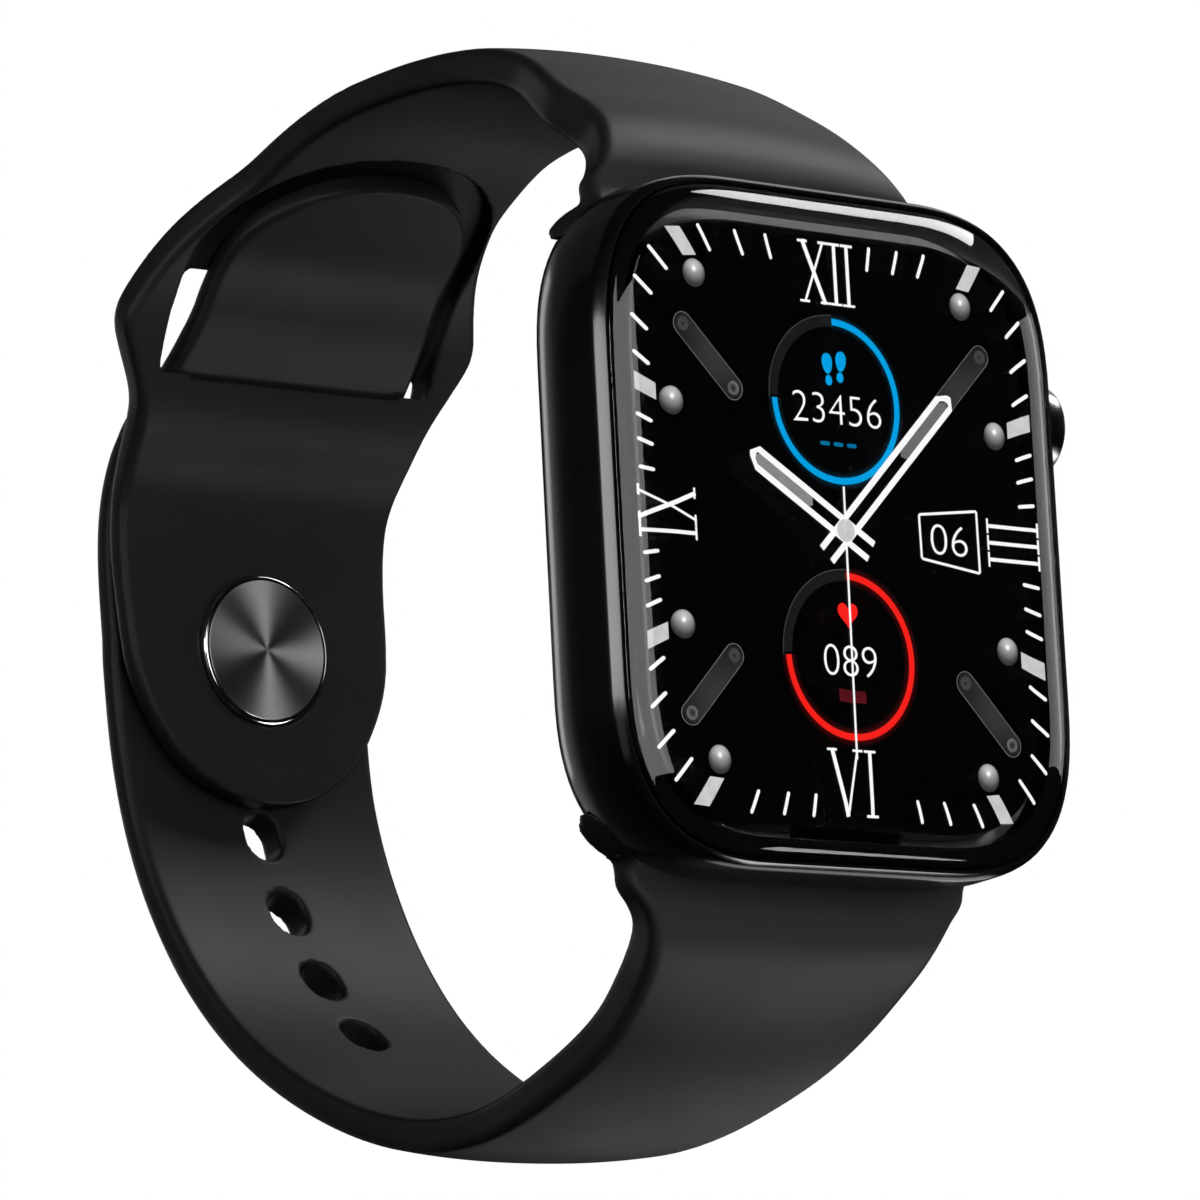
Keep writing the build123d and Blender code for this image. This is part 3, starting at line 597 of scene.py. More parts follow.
num = []
zt, zb = 18.15, 14.20
num += diag((-2.05, zt), (-0.35, zb), 0.30) + diag((-0.35, zt), (-2.05, zb), 0.17)
num += upright(0.55, zb, zt, 0.27, 0.95) + upright(1.60, zb, zt, 0.27, 1.0)
zt6, zb6 = -13.95, -18.05
num += diag((-1.95, zt6), (-0.85, zb6), 0.30, False) + diag((0.15, zt6), (-0.85, zb6), 0.17, False)
num += [bar((-2.35, zt6 - 0.07), (-1.55, zt6 - 0.07), serif), bar((-0.25, zt6 - 0.07), (0.55, zt6 - 0.07), serif)]
num += upright(1.15, zb6, zt6, 0.27, 0.95)


def turned(polys, c, s_=1):
    """Quarter turn of shapes drawn upright about the origin, then moved to c."""
    return [[(c[0] + s_ * p[1], c[1] - s_ * p[0]) for p in poly] for poly in polys]


three = []
for dx in (-1.08, 0.0, 1.08):
    three += upright(dx, -2.15, 2.15, 0.24, 0.95)
num += turned(three, (14.32, 0.0))
nine = upright(-1.25, -2.05, 2.05, 0.24, 0.85)
nine += diag((-0.45, 2.05), (1.25, -2.05), 0.28, sw=0.7) + diag((1.25, 2.05), (-0.45, -2.05), 0.16, sw=0.7)
num += turned(nine, (-13.95, 0.0), -1)
flat("dial_numerals", num, MAT["white"], "hand")


# display balls: discs whose colour is worked out as a lit sphere's
def ball_disc(name, centres, r_, rings=9, seg=40):
    verts, faces, cols = [], [], []
    lx, lz, ly = 0.10, 0.62, 0.78
    y0 = LAYER["mid"]

    def shade(u_, v_):
        rr = min(u_ * u_ + v_ * v_, 1.0)
        ny = math.sqrt(1 - rr)
        dif = max(0.0, u_ * lx + v_ * lz + ny * ly)
        hl = max(0.0, u_ * 0.02 + v_ * 0.30 + ny * 0.955) ** 60
        edge = 1 - 0.45 * rr ** 3
        g = (0.05 + 0.42 * dif ** 1.8) * edge + 0.75 * hl
        if v_ > 0.15:
            g += 0.25 * (v_ - 0.15) * edge
        return g
    for cx_, cz_ in centres:
        n0 = len(verts)
        verts.append(mm(cx_, y0 - 0.006, cz_)); cols.append(shade(0, 0))
        for i in range(1, rings + 1):
            q_ = i / rings
            for k in range(seg):
                a = 2 * math.pi * k / seg
                u_, v_ = q_ * math.cos(a), q_ * math.sin(a)
                verts.append(mm(cx_ + r_ * u_, y0 - 0.006 * (1 - q_ ** 6), cz_ + r_ * v_)); cols.append(shade(u_, v_))
        for k in range(seg):
            k2 = (k + 1) % seg
            faces.append((n0, n0 + 1 + k, n0 + 1 + k2))
            for i in range(rings - 1):
                a, b2 = n0 + 1 + i * seg, n0 + 1 + (i + 1) * seg
                faces.append((a + k, b2 + k, b2 + k2, a + k2))
        faces.append(tuple(n0 + 1 + (rings - 1) * seg + k for k in range(seg)))
    me = mesh_from(name, verts, faces)
    at = me.color_attributes.new("shade", "FLOAT_COLOR", "POINT")
    for i, g in enumerate(cols):
        at.data[i].color = (g, g, g, 1)
    return link(name, me, MAT["shaded"], "case")


ball_disc("dial_balls", [(sx * 11.05, sz * 15.15) for sx in (1, -1) for sz in (1, -1)] +
          [(sx * 13.35, sz * 6.95) for sx in (1, -1) for sz in (1, -1)], 0.90)


# dark bridge bars with a screw at each end
def bridge(name, a, b2, w=1.55):
    dx, dz = b2[0] - a[0], b2[1] - a[1]
    L = math.hypot(dx, dz); ang = math.atan2(dz, dx)
    c = ((a[0] + b2[0]) / 2, (a[1] + b2[1]) / 2)
    n_ = 14
    outer = pill_pts(c, L + w, w, ang, n_)
    inner = pill_pts(c, L + w - 0.13, w - 0.13, ang, n_)
    # rim
    nn = len(outer)
    lp = [[(p[0], LAYER["low"], p[1]) for p in outer], [(p[0], LAYER["low"] - 0.006, p[1]) for p in outer],
          [(p[0], LAYER["low"] - 0.006, p[1]) for p in inner], [(p[0], LAYER["low"], p[1]) for p in inner]]
    link(name + "_rim", loops_mesh(name + "_rim", lp, closed_across=True), MAT["bar_line"], "case", smooth=False)
    # body, with colour worked out along and across it
    verts, faces, cols = [], [], []
    U, V = 26, 8
    Lh, r_ = (L + w) / 2 - 0.10, w / 2 - 0.10
    d = (math.cos(ang), math.sin(ang)); q = (-d[1], d[0])
    for i in range(U + 1):
        u_ = -Lh + 2 * Lh * i / U
        half = r_ if abs(u_) < Lh - r_ else math.sqrt(max(r_ ** 2 - (abs(u_) - (Lh - r_)) ** 2, 1e-6))
        for j in range(V + 1):
            v_ = -half + 2 * half * j / V
            verts.append(mm(c[0] + d[0] * u_ + q[0] * v_, LAYER["low"] - 0.004, c[1] + d[1] * u_ + q[1] * v_))
            g = 0.012 + 0.018 * math.exp(-((u_ / Lh - 0.1) / 0.55) ** 2) + 0.010 * (0.5 + v_ / (2 * r_))
            cols.append((g, g, g * 1.05))
    for i in range(U):
        for j in range(V):
            a_ = i * (V + 1) + j
            faces.append((a_, a_ + 1, a_ + V + 2, a_ + V + 1))
    me = mesh_from(name + "_plate", verts, faces)
    at = me.color_attributes.new("shade", "FLOAT_COLOR", "POINT")
    for i, g in enumerate(cols):
        at.data[i].color = (*g, 1)
    link(name + "_plate", me, MAT["shaded"], "case", smooth=False)
    for i, e in enumerate((a, b2)):
        g1 = 0.05 if i == 0 else 0.10
        mt = MAT["track_line"] if i == 0 else MAT["bar_line"]
        ring_me(f"{name}_screw_{i}", e, 0.26, 0.44, mt, "mid", 40)
        ring_me(f"{name}_screwhead_{i}", e, 0.12, 0.25, MAT["track_line"], "mid", 32)


bridge("dial_bridge_nw", (-12.15, 11.85), (-8.35, 8.15))
bridge("dial_bridge_ne", (12.45, 12.00), (8.60, 8.15))
bridge("dial_bridge_sw", (-9.45, -8.65), (-13.05, -12.40))
bridge("dial_bridge_se", (9.60, -9.20), (13.25, -12.95))

# sub-dials
for nm, cz_, mat in (("steps", 8.05, MAT["blue"]), ("pulse", -8.10, MAT["red"])):
    flat(f"dial_{nm}_track", [arc_band((0.05, cz_), 4.75, 5.42, 270, 360, 40)], MAT["track"], "base")
    ring_me(f"dial_{nm}_edge", (0.05, cz_), 5.44, 5.50, MAT["track_line"], "base")
    flat(f"dial_{nm}_arc", [arc_band((0.05, cz_), 4.86, 5.28, 0, 268, 120)], mat, "mid")


def glow(name, c, col, a0, a1, r_, w):
    """Soft halo beside a lit arc."""
    verts, faces, cols = [], [], []
    K, R = 90, 10
    for k in range(K + 1):
        a = math.radians(90 - (a0 + (a1 - a0) * k / K))
        for i in range(R + 1):
            q_ = -1 + 2 * i / R
            rr = r_ + q_ * w
            f_ = max(0, 1 - abs(q_)) ** 2 * 0.16
            verts.append(mm(c[0] + rr * math.cos(a), LAYER["low"], c[1] + rr * math.sin(a)))
            cols.append((col[0] * f_, col[1] * f_, col[2] * f_))
    for k in range(K):
        for i in range(R):
            b_ = k * (R + 1) + i
            faces.append((b_, b_ + 1, b_ + R + 2, b_ + R + 1))
    me = mesh_from(name, verts, faces)
    at = me.color_attributes.new("shade", "FLOAT_COLOR", "POINT")
    for i, g in enumerate(cols):
        at.data[i].color = (*g, 1)
    link(name, me, MAT["shaded"], "case", smooth=False)


glow("dial_pulse_glow", (0.05, -8.10), (1.0, 0.01, 0.01), 0, 268, 5.07, 0.62)
glow("dial_steps_glow", (0.05, 8.05), (0.0, 0.30, 0.7), 0, 268, 5.07, 0.55)


def egg(c, a, b2, ang=0.0, k=0.0, n=28):
    pts = []
    for i in range(n):
        t = 2 * math.pi * i / n
        u_, v_ = a * math.cos(t) * (1 + k * math.sin(t)), b2 * math.sin(t)
        pts.append((c[0] + u_ * math.cos(ang) - v_ * math.sin(ang), c[1] + u_ * math.sin(ang) + v_ * math.cos(ang)))
    return pts


feet = [egg((-0.52, 10.42), 0.42, 0.66, 0.05, 0.18), egg((-0.45, 9.36), 0.27, 0.34, 0.0, -0.1),
        egg((0.62, 10.62), 0.42, 0.66, -0.12, 0.18), egg((0.50, 9.60), 0.28, 0.33, -0.1, -0.1)]
flat("dial_feet_icon", feet, MAT["blue"], "mid")
flat("dial_steps_dashes", [rbar((-1.45, 5.30), (-0.65, 5.30), 0.26), rbar((-0.35, 5.30), (0.45, 5.30), 0.26), rbar((0.75, 5.30), (1.55, 5.30), 0.26)],
     lit("lit_dim_blue", (0.0, 0.16, 0.34)), "mid")
hp = []
for i in range(48):
    t = 2 * math.pi * i / 48
    hp.append((0.02 + 0.052 * 16 * math.sin(t) ** 3, -5.42 + 0.056 * (13 * math.cos(t) - 5 * math.cos(2 * t) - 2 * math.cos(3 * t) - math.cos(4 * t))))
flat("dial_heart_icon", [hp[::-1]], MAT["red"], "mid")
flat("dial_pulse_block", [[(-1.05, -10.15), (0.05, -10.28), (0.05, -11.05), (-1.05, -10.95)], [(0.20, -10.25), (1.15, -10.25), (1.15, -11.0), (0.20, -11.0)]],
     MAT["darkred"], "mid")
box = [(6.47, 1.36), (11.37, 1.93), (11.39, -2.06), (6.51, -1.45)]
flat("dial_date_frame", [rbar(box[i], box[(i + 1) % 4], 0.17, 4) for i in range(4)], MAT["white"], "mid")


def digits(name, text, cx_, cz_, width, height, mat, layer="mid", thin=-0.018):
    cu = bpy.data.curves.new(name, "FONT")
    cu.body = text
    cu.align_x = "CENTER"; cu.align_y = "CENTER"
    cu.size = 1.0
    cu.offset = thin
    cu.extrude = 0.002
    cu.resolution_u = 6
    ob = bpy.data.objects.new(name + "_t", cu)
    bpy.context.scene.collection.objects.link(ob)
    dg = bpy.context.evaluated_depsgraph_get()
    me = bpy.data.meshes.new_from_object(ob.evaluated_get(dg))
    bpy.data.objects.remove(ob); bpy.data.curves.remove(cu)
    co = np.array([v.co[:] for v in me.vertices])
    lo, hi = co.min(0), co.max(0)
    s_x, s_z = width / (hi[0] - lo[0]), height / (hi[1] - lo[1])
    for v in me.vertices:
        x = (v.co.x - (lo[0] + hi[0]) / 2) * s_x + cx_
        z = (v.co.y - (lo[1] + hi[1]) / 2) * s_z + cz_
        v.co = mm(x, LAYER[layer] - 0.003 * (1 if v.co.z > 0 else -1), z)
    me.name = name
    bm = bmesh.new(); bm.from_mesh(me)
    bmesh.ops.remove_doubles(bm, verts=bm.verts, dist=1e-7)
    bmesh.ops.recalc_face_normals(bm, faces=bm.faces)
    bm.to_mesh(me); bm.free()
    return link(name, me, mat, "case", smooth=False)


digits("dial_steps_number", "23456", 0.10, 7.52, 7.30, 1.95, MAT["white"])
digits("dial_pulse_number", "089", 0.02, -8.38, 4.35, 1.95, MAT["white"])
digits("dial_date_number", "06", 8.90, -0.12, 3.10, 1.95, MAT["white"])


# hands
def hand(name, c, tip, length, tail, half, w, lume_from, lume_to, lume_mat, layer):
    d = Vector((tip[0] - c[0], tip[1] - c[1])).normalized()
    q = Vector((-d.y, d.x))
    P = lambda u_, v_: (c[0] + d.x * u_ + q.x * v_, c[1] + d.y * u_ + q.y * v_)
    polys = []
    for s_ in (1, -1):
        polys.append([P(-tail, s_ * (half - w / 2)), P(-tail, s_ * (half + w / 2)), P(length - (0.9 if s_ > 0 else 0.55), s_ * (half + w / 2)),
                      P(length - (0.9 if s_ > 0 else 0.55), s_ * (half - w / 2))])
    L0 = length
    polys.append([P(L0 - 0.92, half + w / 2), P(L0 - 0.15, 0.20), P(L0, -0.10), P(L0 - 0.56, -half - w / 2), P(L0 - 0.56, -half + w / 2),
                  P(L0 - 0.50, -0.15), P(L0 - 0.62, 0.12), P(L0 - 0.92, half - w / 2)])
    flat(name, polys, MAT["white"], layer)
    flat(name + "_lume", [[P(lume_from, -half + w / 2), P(lume_to, -half + w / 2), P(lume_to + 0.25, -0.1), P(lume_to - 0.25, half - w / 2),
                           P(lume_from, half - w / 2), P(lume_from - 0.25, 0.1)]], lume_mat, "low" if layer == "hand" else "hand")


HC = (0.22, -0.15)
hand("dial_hour_hand", HC, (-7.15, 4.15), 8.75, 2.35, 0.56, 0.42, 3.2, 8.0, MAT["lume"], "hand2")
hand("dial_minute_hand", HC, (9.50, 9.05), 13.3, 2.35, 0.56, 0.42, 7.4, 12.5, MAT["lume_dark"], "hand2")
flat("dial_hub", [egg(HC, 0.72, 0.72)], MAT["block"], "top")
flat("dial_second_hand", [bar((0.25, 2.65), (0.07, -14.55), 0.16)], MAT["white"], "top")

# ---------------------------------------------------------------- band
PK = [(6.6, 21.4, 28.19, 2.2), (7.41, 23.69, 24.66, 2.8), (9.35, 26.13, 22.08, 3), (12.97, 28.79, 22.68, 2.8), (17.5, 31.88, 19.87, 2.5), (23.92, 33.88, 19.33, 2.3), (31.6, 34.33, 19.77, 2.2), (39.35, 33.58, 19.95, 2.2), (46.04, 30.99, 21.24, 2.3), (51.76, 27.71, 25.89, 2.4), (55.22, 23.05, 30.32, 2.3), (57.47, 17.95, 24.4, 2.2), (61.02, 12.53, 22.89, 2), (61.52, 3.04, 22.2, 1.85), (61.16, -3.53, 20.9, 1.8), (60.58, -9.01, 21.2, 1.75)]
HK = [(6.6, -21.4, 28.47, 2.2), (7.09, -24.01, 23.78, 2.8), (9.28, -26.62, 21.8, 3), (13.45, -29.8, 20.28, 2.8), (19.75, -32.55, 19.6, 2.5), (27.81, -34.55, 18.4, 2.3), (36.05, -34.23, 18.3, 2.2), (44.24, -31.37, 19.57, 2.1), (51.6, -26.79, 20.19, 2.1), (56.82, -21.48, 20.67, 2.1), (60.74, -15.06, 21.04, 2), (63.21, -7.57, 21.26, 1.9), (63.92, 1.97, 21.8, 1.8)]
PIN_Z = 1.90


class Line:
    def __init__(self, knots):
        self.k = np.array(knots, float)
        self.d = np.r_[0, np.cumsum(np.hypot(*np.diff(self.k[:, :2], axis=0).T))]
        self.L = self.d[-1]

    def at(self, s_):
        y, dy = nat_spline(self.d, self.k[:, 0], s_, True)
        z, dz = nat_spline(self.d, self.k[:, 1], s_, True)
        m_ = np.hypot(dy, dz)
        w_ = np.interp(s_, self.d, self.k[:, 2])
        t_ = np.interp(s_, self.d, self.k[:, 3])
        return np.stack([y, z], -1), np.stack([dy / m_, dz / m_], -1), w_, t_


UP, LOW = Line(PK), Line(HK)


def smooth_tab(L, tab_d, tab_v, n=400):
    """Widths eased along the strap instead of broken lines."""
    s_ = np.linspace(0, L, n)
    v = np.interp(s_, tab_d, tab_v)
    w_ = int(n * 0.025)
    ker = np.hanning(2 * w_ + 3); ker /= ker.sum()
    p = np.r_[np.full(w_ + 1, v[0]), v, np.full(w_ + 1, v[-1])]
    return s_, np.convolve(p, ker, "same")[w_ + 1:-w_ - 1]


UPw = smooth_tab(UP.L, UP.d, UP.k[:, 2]); UPt = smooth_tab(UP.L, UP.d, UP.k[:, 3])
LOw = smooth_tab(LOW.L, LOW.d, LOW.k[:, 2]); LOt = smooth_tab(LOW.L, LOW.d, LOW.k[:, 3])
sl = 58.401         # run of the upper strap to the middle of its window
ss_ = np.linspace(0, UP.L, 3000)
_c = UP.at(ss_)[0]
sp = ss_[np.argmin(np.abs(_c[:, 1] - PIN_Z) + 100 * (_c[:, 0] < 50))]


def section(hw, ht, crown, e_out, e_in, n=5, across=22):
    """Closed strap section: (across, outward)."""
    pts = []
    xs = np.linspace(-1, 1, across)
    pts += [(x * (hw - e_in), -ht) for x in xs]
    for a in np.linspace(-90, 0, n + 2)[1:-1]:
        pts.append((hw - e_in + e_in * math.cos(math.radians(a)), -ht + e_in + e_in * math.sin(math.radians(a))))
    pts.append((hw, -ht + e_in)); pts.append((hw, ht - e_out))
    for a in np.linspace(0, 90, n + 2)[1:-1]:
        pts.append((hw - e_out + e_out * math.cos(math.radians(a)), ht - e_out + e_out * math.sin(math.radians(a))))
    for x in xs[::-1]:
        u_ = x * (hw - e_out)
        pts.append((u_, ht + crown * (1 - (abs(x)) ** 2.2)))
    for a in np.linspace(90, 180, n + 2)[1:-1]:
        pts.append((-hw + e_out + e_out * math.cos(math.radians(a)), ht - e_out + e_out * math.sin(math.radians(a))))
    pts.append((-hw, ht - e_out)); pts.append((-hw, -ht + e_in))
    for a in np.linspace(180, 270, n + 2)[1:-1]:
        pts.append((-hw + e_in + e_in * math.cos(math.radians(a)), -ht + e_in + e_in * math.sin(math.radians(a))))
    return pts


def ribbon(name, rows):
    """rows: centre (y, z), direction (y, z), half width, half thickness, crown, edge radii."""
    lp = []
    for c, t_, hw, ht, cr, eo, ei in rows:
        n_ = np.array([-t_[1], t_[0]])
        if n_[0] * (c[0] - 34.5) + n_[1] * c[1] < 0:
            n_ = -n_
        e1 = min(eo, ht * 0.8, hw * 0.45); e2 = min(ei, ht * 0.8, hw * 0.45)
        lp.append([(u_, c[0] + n_[0] * v_, c[1] + n_[1] * v_) for u_, v_ in section(hw, ht, cr, e1, e2)])
    return loops_mesh(name, lp)


def end_scale(rem, r_, e_=2.0):
    """Width of a rounded end, as a part of the full width."""
    if rem >= r_:
        return 1.0
    return max(1 - ((r_ - rem) / r_) ** e_, 0.0) ** (1 / e_)


def crown_up(s_):
    return float(np.interp(s_, [0, 3, 8, 18, 40, 50, sl - 6, sl + 4, sl + 10], [0.10, 0.30, 0.45, 0.55, 0.55, 0.45, 0.22, 0.08, 0.0]))


def crown_low(s_):
    return float(np.interp(s_, [0, 3, 8, 18, 70, 84], [0.10, 0.30, 0.45, 0.55, 0.45, 0.27]))


def tail_off(s_):
    a, b2 = sl + 8.2, sl - 3.0
    u_ = np.clip((s_ - b2) / (a - b2), 0, 1)
    u_ = u_ * u_ * (3 - 2 * u_)
    return -1.3 + u_ * (2.28 + 1.3)


# upper strap
def foot(name, side):
    """The strap's foot in its channel and the neck that leaves it; its ends follow the case outline."""
    body_ = temp(cyl_me(1.49, -17.9, 17.9, (0, 6.0, side * 19.4), (1, 0, 0), 48))
    d = (NECK[0], side * NECK[1]); q = (d[1], -d[0])
    quad = [(6.0 + q[0] * e * 1.0 + d[0] * t, side * 19.4 + q[1] * e * 1.0 + d[1] * t) for e, t in ((-1, 0.2), (1, 0.2), (1, 3.2), (-1, 3.2))]
    neck = temp(prism_me(name + "_neck", quad, -17.9, 17.9, "x"))
    shape = [(p[0], p[2]) for p in outline(0.72, 0)]
    mask = temp(prism_me(name + "_mask", shape, 2.0, 10.0, "y"))
    md = body_.modifiers.new("u", "BOOLEAN"); md.operation = "UNION"; md.solver = "EXACT"; md.object = neck
    md = body_.modifiers.new("i", "BOOLEAN"); md.operation = "INTERSECT"; md.solver = "EXACT"; md.object = mask
    apply_mods(body_)
    for o in (neck, mask):
        me_ = o.data
        bpy.data.objects.remove(o); bpy.data.meshes.remove(me_)
    return body_


def unite(ob, other):
    md = ob.modifiers.new("u", "BOOLEAN"); md.operation = "UNION"; md.solver = "EXACT"; md.object = other
    apply_mods(ob)
    me_ = other.data
    bpy.data.objects.remove(other); bpy.data.meshes.remove(me_)


ROOT_W = 27.8
ROOT_U = [(-1.2, ROOT_W, 1.86), (-0.4, ROOT_W, 1.86)]
REND = 10.6


def strap_rows(line, wt, tt, S, crown_of, rend=None):
    out = []
    c0, t0, _, _ = line.at(np.array([0.0]))
    for s_, w_, t_ in ROOT_U:
        out.append((c0[0] + t0[0] * s_, t0[0], w_ / 2, t_ / 2, 0.0, 0.25, 0.25))
    for s_ in S:
        c, t_, _, _ = line.at(np.array([s_]))
        w_ = np.interp(s_, *wt); th_ = np.interp(s_, *tt)
        k = min(s_ / 1.6, 1.0)
        w_ = ROOT_W + (w_ - ROOT_W) * k if s_ < 1.6 else w_
        th_ = 1.86 + (th_ - 1.86) * k
        if rend:
            w_ *= end_scale(line.L - s_, rend)
        out.append((c[0], t_[0], w_ / 2, th_ / 2, crown_of(s_) * k, 0.6, 0.5))
    return out


S = list(np.linspace(0.0, UP.L - REND, 190)) + [UP.L - REND + REND * math.sin(a) for a in np.linspace(0.03, math.pi / 2 - 0.02, 40)]
rows = strap_rows(UP, UPw, UPt, S, crown_up, REND)
upper = temp(ribbon("upper_band", rows))
upper.name = "upper_band"

# the room for the tail
TIP = sl - 16.7


def off_line(s_):
    c, t_, _, _ = UP.at(np.array([s_]))
    c, t_ = c[0], t_[0]
    n_ = np.array([-t_[1], t_[0]])
    if n_[0] * (c[0] - 34.5) + n_[1] * c[1] < 0:
        n_ = -n_
    return c + n_ * tail_off(s_)


def off_rows(S, width, half_t, crown, eo, ei):
    P_ = np.array([off_line(s_) for s_ in S])
    T_ = np.gradient(P_, axis=0); T_ /= np.hypot(T_[:, 0], T_[:, 1])[:, None]
    return [(P_[i], T_[i], width(S[i]) / 2, half_t(S[i]), crown(S[i]), eo, ei) for i in range(len(S))]


RW = 12.0
rec_end = sl - 18.9
S = list(np.linspace(sl + 9.0, rec_end + RW, 70)) + [rec_end + RW * (1 - math.sin(a)) for a in np.linspace(0.03, math.pi / 2 - 0.02, 40)]
cutter = temp(ribbon("tail_room", off_rows(S, lambda s_: 23.0 * end_scale(s_ - rec_end, RW, 2.1), lambda s_: 1.15, lambda s_: 0.0, 0.35, 0.35)))
wrows = []
for s_ in list(np.linspace(sl - 5.0, sl - 0.7, 12)) + [sl + 2.4 - 3.0 * (1 - math.sin(a)) for a in np.linspace(0.05, math.pi / 2, 14)]:
    c, t_, _, _ = UP.at(np.array([s_]))
    r_ = sl + 2.4 - s_
    hw_ = 10.7 if r_ >= 3 else 10.7 - 3 + 3 * math.sqrt(max(1 - ((3 - r_) / 3) ** 2, 0))
    wrows.append((c[0], t_[0], hw_, 3.0, 0.0, 0.1, 0.1))
window = temp(ribbon("tail_window", wrows))
pin_hole = temp(cyl_me(1.3, 50, 70, (0, 0, PIN_Z), (0, 1, 0), 48))
seat = temp(cyl_me(5.32, 50, 60.98, (0, 0, PIN_Z), (0, 1, 0), 96))
cut(upper, [cutter, window, pin_hole, seat])
unite(upper, foot("upper_foot", 1))


def soften(ob, voxel, steps, factor=0.5):
    """Even skin with moulded, slightly rounded edges."""
    md = ob.modifiers.new("r", "REMESH"); md.mode = "VOXEL"; md.voxel_size = voxel * MM; md.use_smooth_shade = True
    sm = ob.modifiers.new("s", "SMOOTH"); sm.factor = factor; sm.iterations = steps
    apply_mods(ob)


soften(upper, 0.20, 5)
upper.data.materials.clear(); upper.data.materials.append(MAT["strap"])
for p in upper.data.polygons:
    p.use_smooth = True
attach(upper, "upper_band"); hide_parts("upper_strap")

# lower strap with its tail
rows = strap_rows(LOW, LOw, LOt, list(np.linspace(0.0, LOW.L - 1.0, 190)), crown_low)
RT = 9.6
S = list(np.linspace(sp - 0.9, TIP + RT, 110)) + [TIP + RT * (1 - math.sin(a)) for a in np.linspace(0.03, math.pi / 2 - 0.02, 40)]
rows += off_rows(S, lambda s_: float(np.interp(sp - s_, [0, 12, 24, 30], [21.8, 21.4, 19.4, 19.0])) * end_scale(s_ - TIP, RT, 2.2),
                 lambda s_: float(np.interp(sp - s_, [0, 8, 14, 37], [0.90, 0.875, 0.85, 0.80])),
                 lambda s_: float(np.interp(sp - s_, [0, 8, 14], [0.27, 0.18, 0.0])), 0.5, 0.5)
lower = temp(ribbon("lower_band", rows))
lower.name = "lower_band"
HOLES = [(63.92, 1.88, 89), (63.6, -4.87, 84), (62.28, -11.17, 72), (59.75, -17.01, 61.3), (56.19, -22.27, 50.3), (51.78, -26.64, 39.3)]
cs = []
for hy, hz, ha in HOLES:
    ca, sa = math.cos(math.radians(ha)), math.sin(math.radians(ha))
    pts = pill_pts((0, 0), 3.7, 2.9, math.pi / 2, 20)
    v = []
    for h_, grow in ((-4, 1.0), (4, 1.0)):
        for a, b2 in pts:
            v.append(mm(a, hy + ca * b2 - sa * h_, hz + sa * b2 + ca * h_))
    n_ = len(pts)
    f = [tuple(range(n_))[::-1], tuple(range(n_, 2 * n_))] + [(k, (k + 1) % n_, n_ + (k + 1) % n_, n_ + k) for k in range(n_)]
    cs.append(temp(mesh_from("hole", v, f)))
cut(lower, cs)
unite(lower, foot("lower_foot", -1))
soften(lower, 0.20, 5)
lower.data.materials.clear(); lower.data.materials.append(MAT["strap"])
for p in lower.data.polygons:
    p.use_smooth = True
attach(lower, "lower_band"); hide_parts("lower_strap")

# ---------------------------------------------------------------- clasp pin
m, nt, b = new_mat("pin_brushed_disc")
tc = nt.nodes.new("ShaderNodeTexCoord")
tg = nt.nodes.new("ShaderNodeTangent"); tg.direction_type = "RADIAL"; tg.axis = "Y"
nt.links.new(tg.outputs["Tangent"], b.inputs["Tangent"])
b.inputs["Metallic"].default_value = 1.0
b.inputs["Anisotropic"].default_value = 0.85
sep = nt.nodes.new("ShaderNodeSeparateXYZ")
nt.links.new(tc.outputs["Object"], sep.inputs[0])
comb = nt.nodes.new("ShaderNodeCombineXYZ")
nt.links.new(sep.outputs["X"], comb.inputs["X"]); nt.links.new(sep.outputs["Z"], comb.inputs["Y"])
ln = nt.nodes.new("ShaderNodeVectorMath"); ln.operation = "LENGTH"
nt.links.new(comb.outputs[0], ln.inputs[0])
wv = nt.nodes.new("ShaderNodeTexNoise"); wv.noise_dimensions = "1D"
wv.inputs["Scale"].default_value = 9000.0; wv.inputs["Detail"].default_value = 3.0
nt.links.new(ln.outputs["Value"], wv.inputs["W"])
r = ramp(nt, wv.outputs["Fac"], [(0.3, (0.66, 0.66, 0.67)), (0.7, (0.71, 0.71, 0.72))])
nt.links.new(r.outputs["Color"], b.inputs["Base Color"])
mr = maprange(nt, wv.outputs["Fac"], 0.38, 0.41, 0.3, 0.7)
nt.links.new(mr.outputs[0], b.inputs["Roughness"])
bump(nt, b, wv.outputs["Fac"], 0.05, 0.001 * MM)
MAT["pin_disc"] = m
MAT["pin_rim"] = surface("pin_polished", (0.5, 0.5, 0.51), (0.62, 0.62, 0.63), (0.10, 0.16), 1.0, 900.0, bump_mm=0.0)


def centred(ob, c):
    """Puts the object's own origin at c (mm, glass frame) without moving its skin."""
    v = Vector(mm(*c))
    ob.data.transform(Matrix.Translation(-v))
    ob.location = v


PY = 60.50
face = lathe("pin_disc_face", [(0, -0.47), (1.5, -0.468), (3.0, -0.46), (4.4, -0.44), (4.86, -0.425), (4.86, 0.2), (0, 0.2)], (0, PY, PIN_Z), (0, 1, 0), 160)
disc = temp(face); disc.name = "clasp_pin_disc"
centred(disc, (0, PY, PIN_Z))
disc.data.materials.append(MAT["pin_disc"])
for p in disc.data.polygons:
    p.use_smooth = True
disc.data.set_sharp_from_angle(angle=math.radians(30))
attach(disc, "upper_band")
rim = lathe("clasp_pin_rim", [(4.84, 0.3), (4.84, -0.40), (4.90, -0.44), (4.98, -0.445), (5.10, -0.41), (5.20, -0.33), (5.25, -0.20), (5.25, 0.40), (1.25, 0.42),
                              (1.25, 4.70), (1.86, 4.71), (1.90, 4.77), (1.90, 5.06), (1.80, 5.22), (1.50, 5.32), (0.0, 5.35)], (0, PY, PIN_Z), (0, 1, 0), 160)
